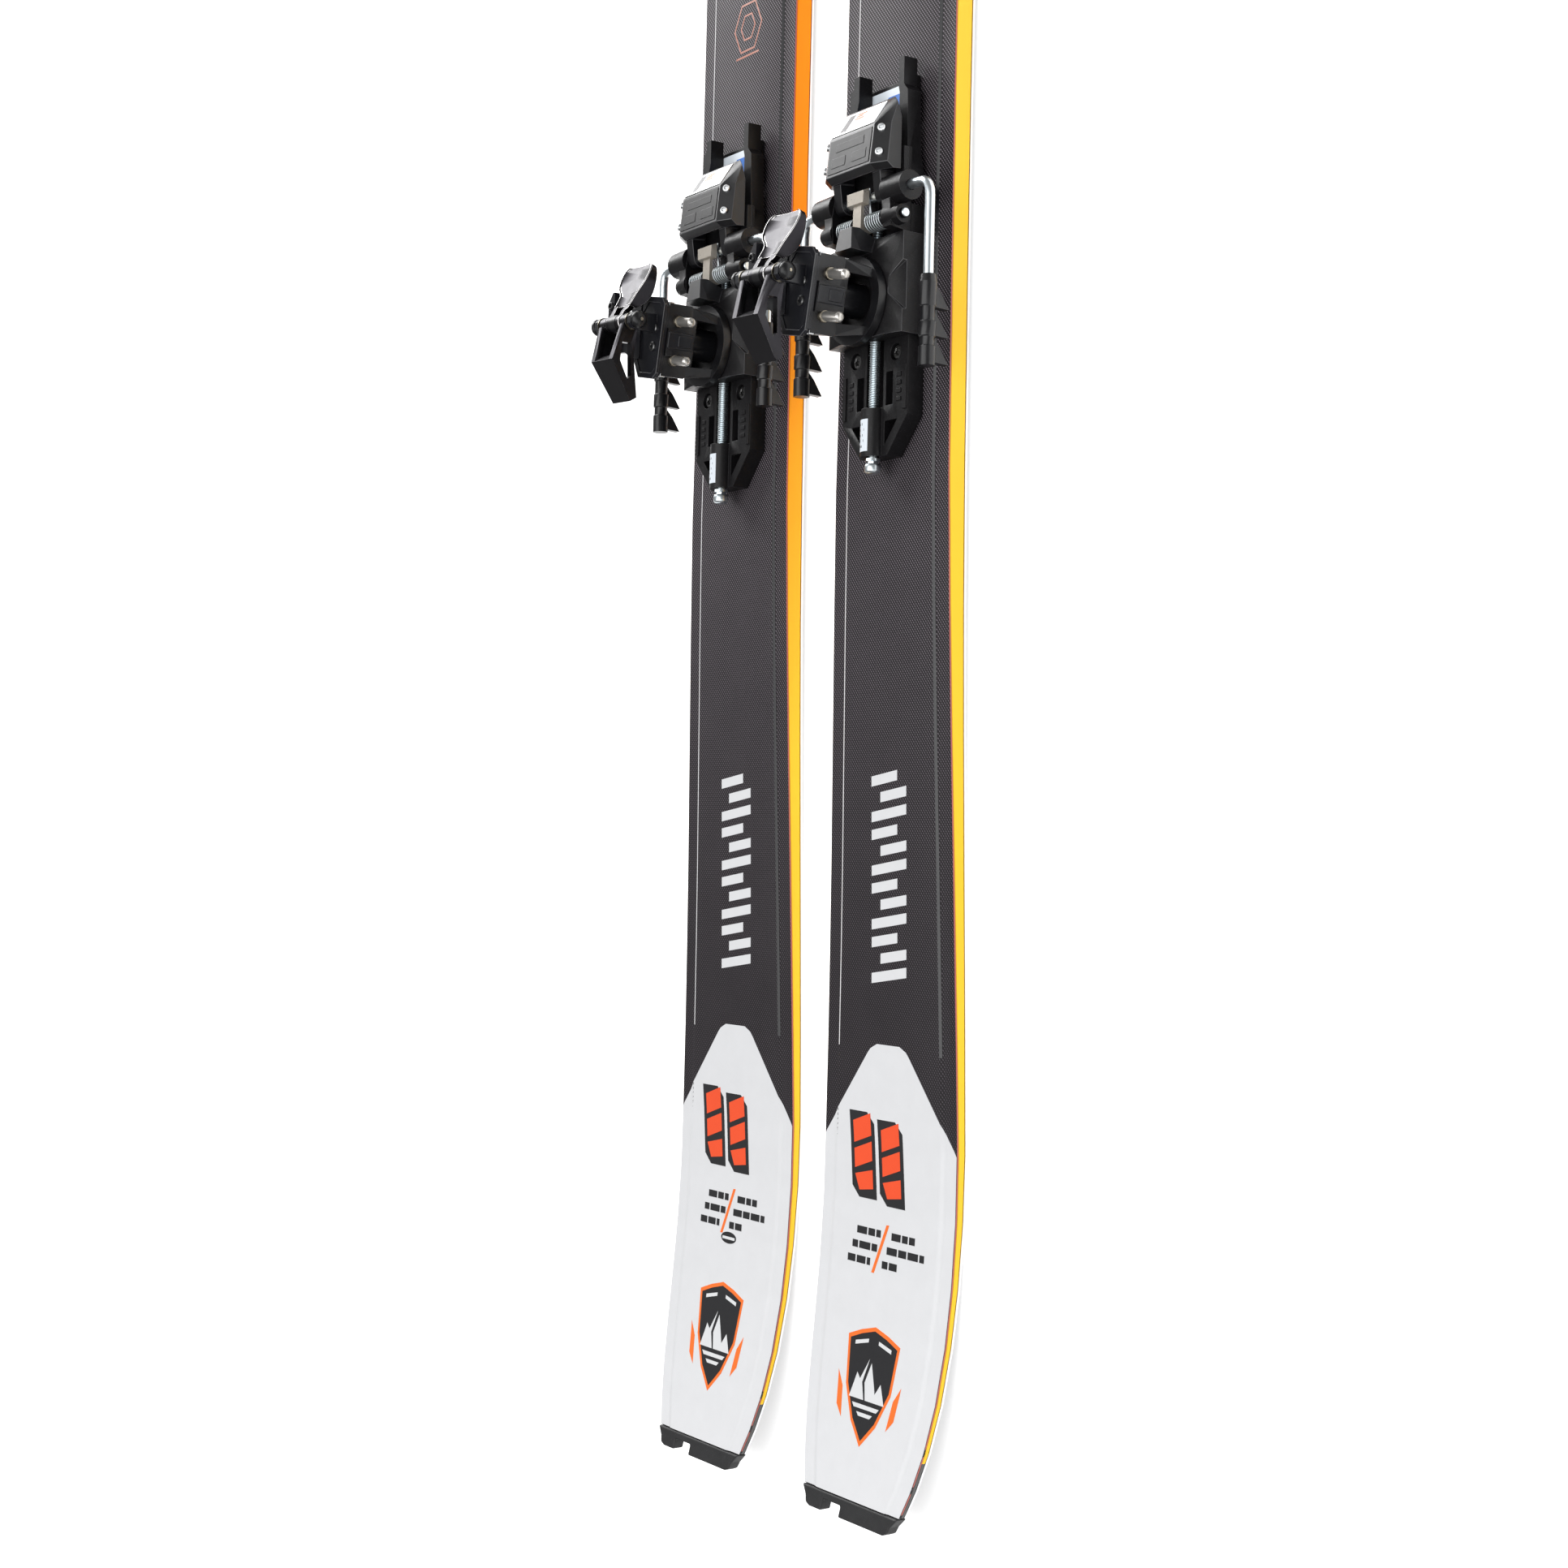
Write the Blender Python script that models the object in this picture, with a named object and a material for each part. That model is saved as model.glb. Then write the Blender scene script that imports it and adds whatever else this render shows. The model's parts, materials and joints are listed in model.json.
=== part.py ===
"""A pair of freeride touring skis with pin bindings, lying flat side by side.

Frame: +Z up, +Y towards the tips, origin on the ground midway between the skis and midway along them.
Lengths below are millimetres, and MM turns them into Blender's metres when a mesh is made.
Each ski is made in its own frame, with x across it, y along it from its middle, and z from the ground.
The binding's two units have frames of their own on the topsheet: toe at the toe unit's swivel,
heel at the turret's axis.
"""

import math

import bmesh
import bpy
from mathutils import Euler, Matrix, Vector

MM = 0.001

# Ski
LENGTH = 1790.0
WAIST_HALF = 48.5
TAIL_HALF, TAIL_WIDEST = 59.0, 193.0
TAIL_END_HALF = 38.0
TIP_HALF, TIP_WIDEST = 64.0, 1610.0
SIDECUT_RADIUS = 19500.0
WAIST_FROM_TAIL = TAIL_WIDEST + 640.0
CAMBER = 3.5
TAIL_RISE, TAIL_RISE_LENGTH = 25.4, 198.0
TIP_RISE, TIP_RISE_START = 68.0, 1470.0
FLAT_FROM, FLAT_TO = 560.0, 1060.0
THICKNESS = ((0, 5.6), (150, 7.4), (350, 10.4), (560, 14.0), (1060, 14.0), (1250, 11.0), (1480, 6.8), (1620, 5.0), (1790, 4.4))
PROTECTOR_LENGTH = 10.0
PAIR_SPACING = 150.0

# Layers
GAP = 0.3
BASE_THICK = 1.2
EDGE_WIDTH, EDGE_HEIGHT = 2.2, 1.5
SIDEWALL_WIDTH = 4.8
TOP_THICK = 0.9
SHOULDER_OUTER, SHOULDER_INNER, SHOULDER_HEIGHT = 9.5, 12.5, 1.0

# Where the binding's units stand, measured from the tail
HEEL_FROM_TAIL = 655.0
TOE_FROM_TAIL = 955.0
TOPSHEET = CAMBER + 14.0

# Heel unit, in the heel frame
TRACK_HALF, TRACK_TOP = 29.0, 11.0
SPINDLE_Z, SPINDLE_RADIUS = 11.2, 3.2
CARRIAGE_FLOOR, CARRIAGE_TOP = 11.4, 22.3
RING_RADIUS = 24.0
BRAKE_PIVOT = Vector((0, 56, 20))
SPRING_AXLE = Vector((0, 42, 20.4))
ARM_X, WIRE_RADIUS = 56.5, 2.75
TURRET_TURN = -12.0
PIN_SPACING, PIN_Z, PIN_RADIUS = 22.4, 51.2, 2.8
RISER_TURN = -3.4
RISER_AXLE = Vector((-16, 7.9, 75.5))

# Toe unit, in the toe frame
JAW_HINGE_X, JAW_HINGE_Z = 13.0, 16.0
LEVER_HINGE = Vector((0, 38, 14))
TOE_PIN_Z = 34.0

COLOURS = {
    "base": ((0.03, 0.03, 0.035), 0.45, 0.0),
    "steel": ((0.72, 0.73, 0.75), 0.3, 1.0),
    "zinc": ((0.78, 0.82, 0.84), 0.25, 1.0),
    "core": ((0.62, 0.45, 0.27), 0.7, 0.0),
    "sidewall": ((1.0, 0.6, 0.04), 0.4, 0.0),
    "topsheet": ((0.035, 0.033, 0.036), 0.4, 0.0),
    "black_plastic": ((0.014, 0.014, 0.016), 0.45, 0.0),
    "grey_plastic": ((0.05, 0.052, 0.056), 0.5, 0.0),
    "anodised": ((0.04, 0.042, 0.05), 0.35, 0.8),
    "nickel": ((0.5, 0.46, 0.38), 0.35, 1.0),
}


# ---------------------------------------------------------------- shapes: each returns (points, faces) in mm


def hull(points):
    """The convex solid round the points."""
    made = bmesh.new()
    for point in points:
        made.verts.new(point)
    result = bmesh.ops.convex_hull(made, input=made.verts)
    spare = [v for v in result["geom_interior"] if isinstance(v, bmesh.types.BMVert)]
    bmesh.ops.delete(made, geom=spare, context="VERTS")
    made.verts.index_update()
    shape = [v.co.copy() for v in made.verts], [[v.index for v in f.verts] for f in made.faces]
    made.free()
    return shape


def loft(sections):
    """A solid skinned over closed loops of the same number of points, with both ends closed."""
    count = len(sections[0])
    points = [Vector(p) for section in sections for p in section]
    faces = [list(range(count))[::-1], list(range(len(points) - count, len(points)))]
    for row in range(len(sections) - 1):
        for i in range(count):
            j = (i + 1) % count
            a, b = row * count, (row + 1) * count
            faces.append([a + i, a + j, b + j, b + i])
    return points, faces


def prism(outline, axis, low, high):
    """A flat outline pushed along an axis: the outline is (y, z) along x, (x, z) along y, or (x, y) along z."""
    place = {
        "x": lambda a, b, c: Vector((c, a, b)),
        "y": lambda a, b, c: Vector((a, c, b)),
        "z": lambda a, b, c: Vector((a, b, c)),
    }[axis]
    return loft([[place(a, b, c) for a, b in outline] for c in (low, high)])


def box(x0, x1, y0, y1, z0, z1):
    return prism([(x0, y0), (x1, y0), (x1, y1), (x0, y1)], "z", z0, z1)


def rod(start, end, radius, end_radius=None, sides=16):
    """A round bar or a cone's trunk from one point to another."""
    start, end = Vector(start), Vector(end)
    turn = (end - start).to_track_quat("Z", "Y")
    rings = []
    for centre, r in ((start, radius), (end, radius if end_radius is None else end_radius)):
        rings.append([
            centre + turn @ Vector((r * math.cos(a), r * math.sin(a), 0))
            for a in (math.tau * (k + 0.5) / sides for k in range(sides))
        ])
    return loft(rings)


def turned(profile, start, direction, sides=20):
    """A solid of revolution: profile is (radius, distance along) from end to end, with both ends closed flat."""
    start = Vector(start)
    turn = Vector(direction).to_track_quat("Z", "Y")
    return loft([
        [start + turn @ Vector((r * math.cos(a), r * math.sin(a), d)) for a in (math.tau * k / sides for k in range(sides))]
        for r, d in profile
    ])


def ring(centre, inner, outer, z0, z1, sides=32):
    """A flat ring about a vertical axis."""
    points, faces = [], []
    for r, z in ((inner, z0), (outer, z0), (outer, z1), (inner, z1)):
        for k in range(sides):
            a = math.tau * k / sides
            points.append(Vector((centre[0] + r * math.cos(a), centre[1] + r * math.sin(a), z)))
    for band in range(4):
        for k in range(sides):
            n = (k + 1) % sides
            a, b = band * sides, (band + 1) % 4 * sides
            faces.append([a + k, a + n, b + n, b + k])
    return points, faces


def rounded_path(corners, radius, steps=4):
    """The line through the corners, with each inner corner turned into a short arc."""
    path = [Vector(corners[0])]
    for before, here, after in zip(corners, corners[1:], corners[2:]):
        here = Vector(here)
        a = here + (Vector(before) - here).normalized() * radius
        b = here + (Vector(after) - here).normalized() * radius
        for k in range(steps + 1):
            s = k / steps
            path.append(a * (1 - s) ** 2 + here * 2 * s * (1 - s) + b * s**2)
    path.append(Vector(corners[-1]))
    return path


def tube(path, radius, sides=12):
    """A round wire along a path that lies in one horizontal plane."""
    sections = []
    for i, centre in enumerate(path):
        ahead = (path[min(i + 1, len(path) - 1)] - path[max(i - 1, 0)]).normalized()
        side = ahead.cross(Vector((0, 0, 1))).normalized()
        sections.append([
            centre + (side * math.cos(a) + Vector((0, 0, 1)) * math.sin(a)) * radius
            for a in (math.tau * k / sides for k in range(sides))
        ])
    return loft(sections)


def mirrored(shape):
    """The same shape on the other side of x = 0."""
    points, faces = shape
    return [Vector((-p.x, p.y, p.z)) for p in points], faces


def both(shape):
    return [shape, mirrored(shape)]


def turned_about_z(shape, degrees):
    points, faces = shape
    turn = Matrix.Rotation(math.radians(degrees), 3, "Z")
    return [turn @ Vector(p) for p in points], faces


# ---------------------------------------------------------------- objects


def material(name):
    found = bpy.data.materials.get(name)
    if found:
        return found
    colour, roughness, metallic = COLOURS[name]
    found = bpy.data.materials.new(name)
    found.use_nodes = True
    shader = found.node_tree.nodes["Principled BSDF"]
    shader.inputs["Base Color"].default_value = (*colour, 1)
    shader.inputs["Roughness"].default_value = roughness
    shader.inputs["Metallic"].default_value = metallic
    return found


def mesh_of(name, shape, pivot):
    """A mesh in metres whose origin is the pivot."""
    points, faces = shape
    made = bmesh.new()
    verts = [made.verts.new((Vector(p) - Vector(pivot)) * MM) for p in points]
    for face in faces:
        made.faces.new([verts[i] for i in face])
    bmesh.ops.recalc_face_normals(made, faces=made.faces)
    mesh = bpy.data.meshes.new(name)
    made.to_mesh(mesh)
    made.free()
    return mesh


def linked(name, mesh, where):
    obj = bpy.data.objects.new(name, mesh)
    bpy.context.scene.collection.objects.link(obj)
    obj.location = where[0]
    obj.rotation_euler = where[1]
    return obj


class Frame:
    """Where one ski's unit stands: origin in the world, in mm, and its turn about Z."""

    def __init__(self, origin, turn=0.0):
        self.origin = Vector(origin)
        self.turn = math.radians(turn)

    def place(self, pivot):
        offset = Matrix.Rotation(self.turn, 3, "Z") @ Vector(pivot)
        return (self.origin + offset) * MM, Euler((0, 0, self.turn))


def node(frame, name, colour, solids, cuts=(), pivot=(0, 0, 0)):
    """One named piece: the first solid joined with the others, then cut."""
    where = frame.place(pivot)
    obj = linked(name, mesh_of(name, solids[0], pivot), where)
    obj.data.materials.append(material(colour))
    work = [("UNION", s) for s in solids[1:]] + [("DIFFERENCE", s) for s in cuts]
    for number, (operation, shape) in enumerate(work):
        helper_name = f"{name}_helper_{number}"
        helper = linked(helper_name, mesh_of(helper_name, shape, pivot), where)
        helper.hide_render = True
        helper.display_type = "WIRE"
        step = obj.modifiers.new(helper_name, "BOOLEAN")
        step.operation = operation
        step.object = helper
    obj.data.shade_smooth()
    obj.data.set_sharp_from_angle(angle=math.radians(35))
    return obj


# ---------------------------------------------------------------- ski


def smooth(s):
    s = min(max(s, 0.0), 1.0)
    return s * s * (3 - 2 * s)


def half_width(t):
    """Half of the ski's width at t from the tail, between the tail's end and the tip's widest point."""
    if t < TAIL_WIDEST:
        return TAIL_HALF - (TAIL_HALF - TAIL_END_HALF) * ((TAIL_WIDEST - t) / TAIL_WIDEST) ** 4.5
    return WAIST_HALF + (t - WAIST_FROM_TAIL) ** 2 / (2 * SIDECUT_RADIUS)


def base_height(t):
    """Height of the running surface above the ground: camber between the contact lines, rise at both ends."""
    if t < TAIL_RISE_LENGTH:
        return TAIL_RISE * (1 - t / TAIL_RISE_LENGTH) ** 2
    if t > TIP_RISE_START:
        return TIP_RISE * ((t - TIP_RISE_START) / (LENGTH - TIP_RISE_START)) ** 2
    if t < FLAT_FROM:
        return CAMBER * smooth((t - TAIL_RISE_LENGTH) / (FLAT_FROM - TAIL_RISE_LENGTH))
    if t > FLAT_TO:
        return CAMBER * smooth((TIP_RISE_START - t) / (TIP_RISE_START - FLAT_TO))
    return CAMBER


def thickness(t):
    for (t0, h0), (t1, h1) in zip(THICKNESS, THICKNESS[1:]):
        if t <= t1:
            return h0 + (h1 - h0) * max(t - t0, 0) / (t1 - t0)
    return THICKNESS[-1][1]


def outline():
    """Points (x, t) down the ski's right side, from just past the tail protector to the tip."""
    stations = [PROTECTOR_LENGTH + GAP, 25, 45, 70, 100, 130, 165, 200, 250, 300, 350, 420, 490, 560]
    stations += [660, 760, 860, 960, 1060, 1150, 1250, 1340, 1420, 1480, 1530, 1575, 1610]
    points = [(half_width(t), t) for t in stations]
    for degrees in (12, 24, 36, 48, 60, 71, 81, 89.5):
        a = math.radians(degrees)
        reach = (LENGTH - TIP_WIDEST) * math.sin(a) ** 0.92
        points.append((TIP_HALF * math.cos(a) ** 0.92, TIP_WIDEST + reach))
    return points


def inset_outline(points, inset):
    """The outline moved inwards, each point along its own normal."""
    moved = []
    for i, (x, t) in enumerate(points):
        x0, t0 = points[max(i - 1, 0)]
        x1, t1 = points[min(i + 1, len(points) - 1)]
        normal = Vector((t1 - t0, x0 - x1)).normalized()
        if i == 0:
            normal = Vector((1, 0))
        if i == len(points) - 1:
            normal = Vector((0, 1))
        moved.append((max(x - inset * normal.x, 0.25), t - inset * normal.y))
    return moved


def shoulder(t):
    """How far the topsheet's border lies below its middle panel."""
    return min(SHOULDER_HEIGHT, 0.16 * thickness(t))


def edge_height(t):
    return min(EDGE_HEIGHT, 0.24 * thickness(t))


def border_top(t):
    return thickness(t) - shoulder(t)


def ski_layer(points, inset, bottom, top):
    """A flat layer of the ski, between two heights above the running surface."""
    sections = []
    for x, t in inset_outline(points, inset):
        z0, z1 = base_height(t) + bottom(t), base_height(t) + top(t)
        y = t - LENGTH / 2
        sections.append([(-x, y, z0), (x, y, z0), (x, y, z1), (-x, y, z1)])
    return loft(sections)


def topsheet_shape(points):
    sections = []
    for x, t in inset_outline(points, 0.1):
        ground, y = base_height(t), t - LENGTH / 2
        low = ground + border_top(t) - TOP_THICK
        border, panel = ground + border_top(t), ground + thickness(t)
        outer = max(x - SHOULDER_OUTER, 0.5 * x)
        inner = max(x - SHOULDER_INNER, 0.35 * x)
        half = [(x, low), (x, border), (outer, border), (inner, panel)]
        loop = half + [(-a, z) for a, z in reversed(half)]
        sections.append([(a, y, z) for a, z in loop])
    return loft(sections)


def sidewall_shape(points):
    sections = []
    outer = points
    inner = inset_outline(points, SIDEWALL_WIDTH)
    for (xo, to), (xi, ti) in zip(outer, inner):
        row = []
        for x, t in ((xo, to), (xi, ti)):
            low = base_height(t) + edge_height(t) + GAP
            high = base_height(t) + border_top(t) - TOP_THICK - GAP
            row.append((x, t - LENGTH / 2, low, high))
        sections.append([
            (row[0][0], row[0][1], row[0][2]),
            (row[0][0], row[0][1], row[0][3]),
            (row[1][0], row[1][1], row[1][3]),
            (row[1][0], row[1][1], row[1][2]),
        ])
    return loft(sections)


def edge_shape(points):
    """The steel edge: up the right side, round the tip and down the left side."""
    inner = inset_outline(points, EDGE_WIDTH)
    right = list(zip(points, inner))
    left = [((-a[0], a[1]), (-b[0], b[1])) for a, b in reversed(right)]
    sections = []
    for (xo, to), (xi, ti) in right + left:
        low_o, low_i = base_height(to), base_height(ti)
        sections.append([
            (xo, to - LENGTH / 2, low_o),
            (xo, to - LENGTH / 2, low_o + edge_height(to)),
            (xi, ti - LENGTH / 2, low_i + edge_height(ti)),
            (xi, ti - LENGTH / 2, low_i),
        ])
    return loft(sections)


def tail_protector(frame, side):
    """The moulded tail end, with a notch for a climbing skin's clip."""
    corner = 5.0
    wide = half_width(PROTECTOR_LENGTH)
    end = half_width(0)
    plan = [(end - corner, 0), (end - 1.4, 1.4), (end, corner), (wide, PROTECTOR_LENGTH)]
    plan = [(x, t - LENGTH / 2) for x, t in plan]
    plan += [(-x, y) for x, y in reversed(plan)]
    low, high = base_height(0) - 0.8, base_height(0) + thickness(0) + 0.9
    sections = [[(x, y, z) for x, y in plan] for z in (low, high)]
    drop = base_height(0) - base_height(PROTECTOR_LENGTH)
    for section in sections:
        for i, (x, y, z) in enumerate(section):
            section[i] = (x, y, z - drop * (y + LENGTH / 2) / PROTECTOR_LENGTH)
    notch = box(-22, -6, -LENGTH / 2 - 2, -LENGTH / 2 + 6, low - 8, high + 4)
    node(frame, f"{side}_tail_protector", "grey_plastic", [loft(sections)], [notch])


def ski(frame, side):
    points = outline()
    core_top = lambda t: border_top(t) - TOP_THICK - GAP
    base = ski_layer(points, EDGE_WIDTH + GAP, lambda t: 0.0, lambda t: BASE_THICK)
    core = ski_layer(points, SIDEWALL_WIDTH + GAP, lambda t: BASE_THICK + GAP, core_top)
    node(frame, f"{side}_running_base", "base", [base])
    node(frame, f"{side}_core", "core", [core])
    node(frame, f"{side}_steel_edge", "steel", [edge_shape(points)])
    node(frame, f"{side}_sidewall_right", "sidewall", [sidewall_shape(points)])
    node(frame, f"{side}_sidewall_left", "sidewall", [mirrored(sidewall_shape(points))])
    node(frame, f"{side}_topsheet", "topsheet", [topsheet_shape(points)])
    tail_protector(frame, side)


# ---------------------------------------------------------------- heel unit


def heel_track(frame, side):
    """The fixed rail: a slotted slab with a V-shaped rear end, a round boss for the spindle and a front tongue."""
    plan = [(12, -83), (TRACK_HALF, -63), (TRACK_HALF, 50), (16, 50), (16, 105)]
    plan += [(-x, y) for x, y in reversed(plan)]
    slab = prism(plan, "z", GAP, TRACK_TOP)
    boss = rod((0, -83, SPINDLE_Z), (0, -57, SPINDLE_Z), 7.0, sides=20)
    tongue = box(-21, 21, 100, 123, GAP, 3.0)
    cuts = [
        box(-7.5, 7.5, -56.5, 110, 3.0, 20),
        box(-17, 17, 51, 110, 5.5, 20),
        rod((0, -90, SPINDLE_Z), (0, -50, SPINDLE_Z), SPINDLE_RADIUS + GAP, sides=16),
    ]
    for cutout in both(prism([(9.4, -64.5), (20.5, -64.5), (9.4, -77.5)], "z", -2, 20)):
        cuts.append(cutout)
    for sign in (-1, 1):
        cuts.append(rod((sign * 18, -28, 7.5), (sign * 18, -28, 14), 4.6, sides=16))
        cuts.append(rod((sign * 18, 32, 7.5), (sign * 18, 32, 14), 4.6, sides=16))
        cuts.append(prism([(sign * 10, -56), (sign * 16, -56), (sign * 16, -38), (sign * 10, -38)], "z", 6, 20))
    node(frame, f"{side}_heel_track", "black_plastic", [slab, boss, tongue], cuts)


def adjustment_spindle(frame, side):
    shaft = turned(
        [(4.2, -92), (4.9, -91.2), (4.9, -87.2), (3.2, -86.8), (3.2, -85.6), (4.5, -85.4), (4.5, -83.8), (3.0, -83.5),
         (SPINDLE_RADIUS, -55), (SPINDLE_RADIUS, 44), (2.4, 45)],
        (0, 0, SPINDLE_Z), (0, 1, 0), sides=12,
    )
    node(frame, f"{side}_adjustment_spindle", "zinc", [shaft], pivot=(0, 0, SPINDLE_Z))


def heel_carriage(frame, side):
    """The block that slides on the track: faceted flanks that rise to the turret's round seat."""
    rear, front, half = -20.5, 33.5, 32.8
    corners = [(sx * half, y, z) for sx in (-1, 1) for y in (rear, front) for z in (CARRIAGE_FLOOR, 18.6)]
    seat = [
        (25.2 * math.cos(a), 25.2 * math.sin(a), CARRIAGE_TOP)
        for a in (math.tau * k / 20 for k in range(20))
        if 25.2 * math.sin(a) > rear + 0.3
    ]
    seat += [(sx * 20, rear + 0.4, CARRIAGE_TOP - 1.2) for sx in (-1, 1)]
    seat += [(sx * 24, front - 3, 19) for sx in (-1, 1)]
    body = hull(corners + seat)
    skirts = both(box(TRACK_HALF + 0.5, half, rear, front, 2.5, CARRIAGE_FLOOR + 2))
    nose = hull([(sx * a, y, z) for sx in (-1, 1) for a, y, z in
                 ((8.8, 25.6, 17), (7.4, 33.2, 17), (9.6, 25.4, 30), (7.4, 26.4, 34.5), (5.4, 38.4, 33), (6.6, 38.4, 28.6))])
    panels = both(hull([(x, y, z) for x, spread, low in ((24.2, 3.5, 22.7), (33.6, 14, 15.4)) for y in
                        (5 - spread, 5 + spread) for z in (low, 40)]))
    bore = rod((0, -60, SPINDLE_Z), (0, 60, SPINDLE_Z), SPINDLE_RADIUS + 0.5, sides=12)
    node(frame, f"{side}_heel_carriage", "black_plastic", [body, *skirts, nose], [bore, *panels])


def brake_frame(frame, side):
    """Base of the brake: cheeks with the wire's bosses and the spring axle's bosses, and two forward prongs."""
    bridge = box(-29.8, 29.8, 61.5, 79.6, 11.9, 14.3)
    cheeks = both(prism([(34, 11.7), (80, 11.7), (80, 16.8), (66, 16.8), (61, 24), (50, 26), (36, 25)], "x", 22.5, 29.5))
    bosses = both(rod((22.8, BRAKE_PIVOT.y, BRAKE_PIVOT.z), (40, BRAKE_PIVOT.y, BRAKE_PIVOT.z), 8.4, 7.9, sides=20))
    carriers = both(rod((22.8, SPRING_AXLE.y, SPRING_AXLE.z), (34.5, SPRING_AXLE.y, SPRING_AXLE.z), 6.6, 5.0, sides=16))
    right_plan = [(18, 63.5), (30, 63.5), (30, 68), (27.5, 78), (26, 112), (22.5, 116), (22.5, 131), (17.8, 131),
                  (17.8, 116), (19, 112)]
    left_plan = [(-x, y) for x, y in right_plan[:5]]
    left_plan += [(-26, 122), (-22.5, 124), (-22.5, 130), (-17.8, 130), (-17.8, 116), (-19, 112)]
    right = prism(right_plan, "z", 4.0, 13.0)
    left = prism(left_plan, "z", 4.0, 13.0)
    bores = []
    for axis, radius in ((BRAKE_PIVOT, WIRE_RADIUS + 0.35), (SPRING_AXLE, 2.9)):
        bores.append(rod((-60, axis.y, axis.z), (60, axis.y, axis.z), radius, sides=14))
    node(frame, f"{side}_brake_frame", "black_plastic", [bridge, *cheeks, *bosses, *carriers, right, left], bores)


def brake_axle(frame, side):
    y, z = SPRING_AXLE.y, SPRING_AXLE.z
    shaft = turned([(2.2, -37), (2.55, -36.4), (2.55, 36.4), (2.2, 37)], (0, y, z), (1, 0, 0), sides=14)
    node(frame, f"{side}_brake_axle", "zinc", [shaft], pivot=SPRING_AXLE)


def brake_latch(frame, side):
    """The latch that holds the brake up: a hub on the spring axle, a tongue and a thick head."""
    y, z = SPRING_AXLE.y, SPRING_AXLE.z
    hub = rod((-3.6, y, z), (3.6, y, z), 5.0, sides=16)
    tongue = prism([(y - 4, 23.6), (52, 23.6), (52, 25.6), (y - 3, 25.8)], "x", -3.6, 3.6)
    head = hull([(sx * x, yy, zz) for sx in (-1, 1) for x, yy, zz in
                 ((8, 51.5, 23.6), (8, 60.5, 23.6), (7, 52.5, 27.2), (7.4, 59, 27.2))])
    bore = rod((-9, y, z), (9, y, z), 2.9, sides=14)
    node(frame, f"{side}_brake_latch", "nickel", [hub, tongue, head], [bore], pivot=SPRING_AXLE)


def brake_wire(frame, side):
    y, z = BRAKE_PIVOT.y, BRAKE_PIVOT.z
    corners = [(-ARM_X, -38, z), (-ARM_X, y, z), (ARM_X, y, z), (ARM_X, -38, z)]
    path = rounded_path(corners, 9.0, steps=5)
    node(frame, f"{side}_brake_wire", "zinc", [tube(path, WIRE_RADIUS, sides=12)], pivot=BRAKE_PIVOT)


def brake_tip(frame, side, sign, hand):
    """The barbed plastic end on one arm."""
    z = BRAKE_PIVOT.z
    sleeve = turned(
        [(4.6, -43), (4.6, -33), (3.95, -32.5), (3.95, -28), (4.6, -27.5), (4.6, -20), (3.95, -19.5), (3.95, -12),
         (4.6, -11.5), (4.6, 1), (4.0, 5)],
        (sign * ARM_X, 0, z), (0, 1, 0), sides=14,
    )
    barbs = [
        prism([(tip - 3, z - 3.2), (tip + 9, z - 3.2), (tip + 5, z - 7), (tip - 3.4, z - 12.5)], "x",
              sign * ARM_X - 2.2, sign * ARM_X + 2.2)
        for tip in (-9, -24, -38)
    ]
    bore = rod((sign * ARM_X, -38.5, z), (sign * ARM_X, 12, z), WIRE_RADIUS + GAP, sides=12)
    node(frame, f"{side}_brake_tip_{hand}", "grey_plastic", [sleeve, *barbs], [bore], pivot=BRAKE_PIVOT)


def brake_pedal(frame, side):
    """The box that the boot heel presses, with two lugs on the wire."""
    y, z = BRAKE_PIVOT.y, BRAKE_PIVOT.z
    top_line = ((66.5, 28.5), (69.5, 32.6), (91, 30.3), (107, 19.6))
    points = []
    for sx in (-1, 1):
        points += [(sx * 20, yy, zz) for yy, zz in top_line]
        points += [(sx * 28.2, yy + 0.6, zz - 5.5) for yy, zz in top_line[:3]]
        points += [(sx * 26, 104, 19), (sx * 28.2, 67.6, 17.9), (sx * 28.2, 95, 17.9), (sx * 22, 108, 17.9)]
    shell = hull(points)
    lugs = both(hull([
        *((x, y + 5.2 * math.cos(a), z + 5.2 * math.sin(a)) for x in (14.5, 21.2) for a in
          (math.tau * k / 14 for k in range(14))),
        *((x, yy, zz) for x in (14.5, 21.2) for yy, zz in ((72, 18.0), (72, 27.5))),
    ]))
    hollow = box(-13.5, 13.5, 60, 101, 10, 27.5)
    bore = rod((-60, y, z), (60, y, z), WIRE_RADIUS + GAP, sides=14)
    node(frame, f"{side}_brake_pedal", "black_plastic", [shell, *lugs], [hollow, bore], pivot=BRAKE_PIVOT)


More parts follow.
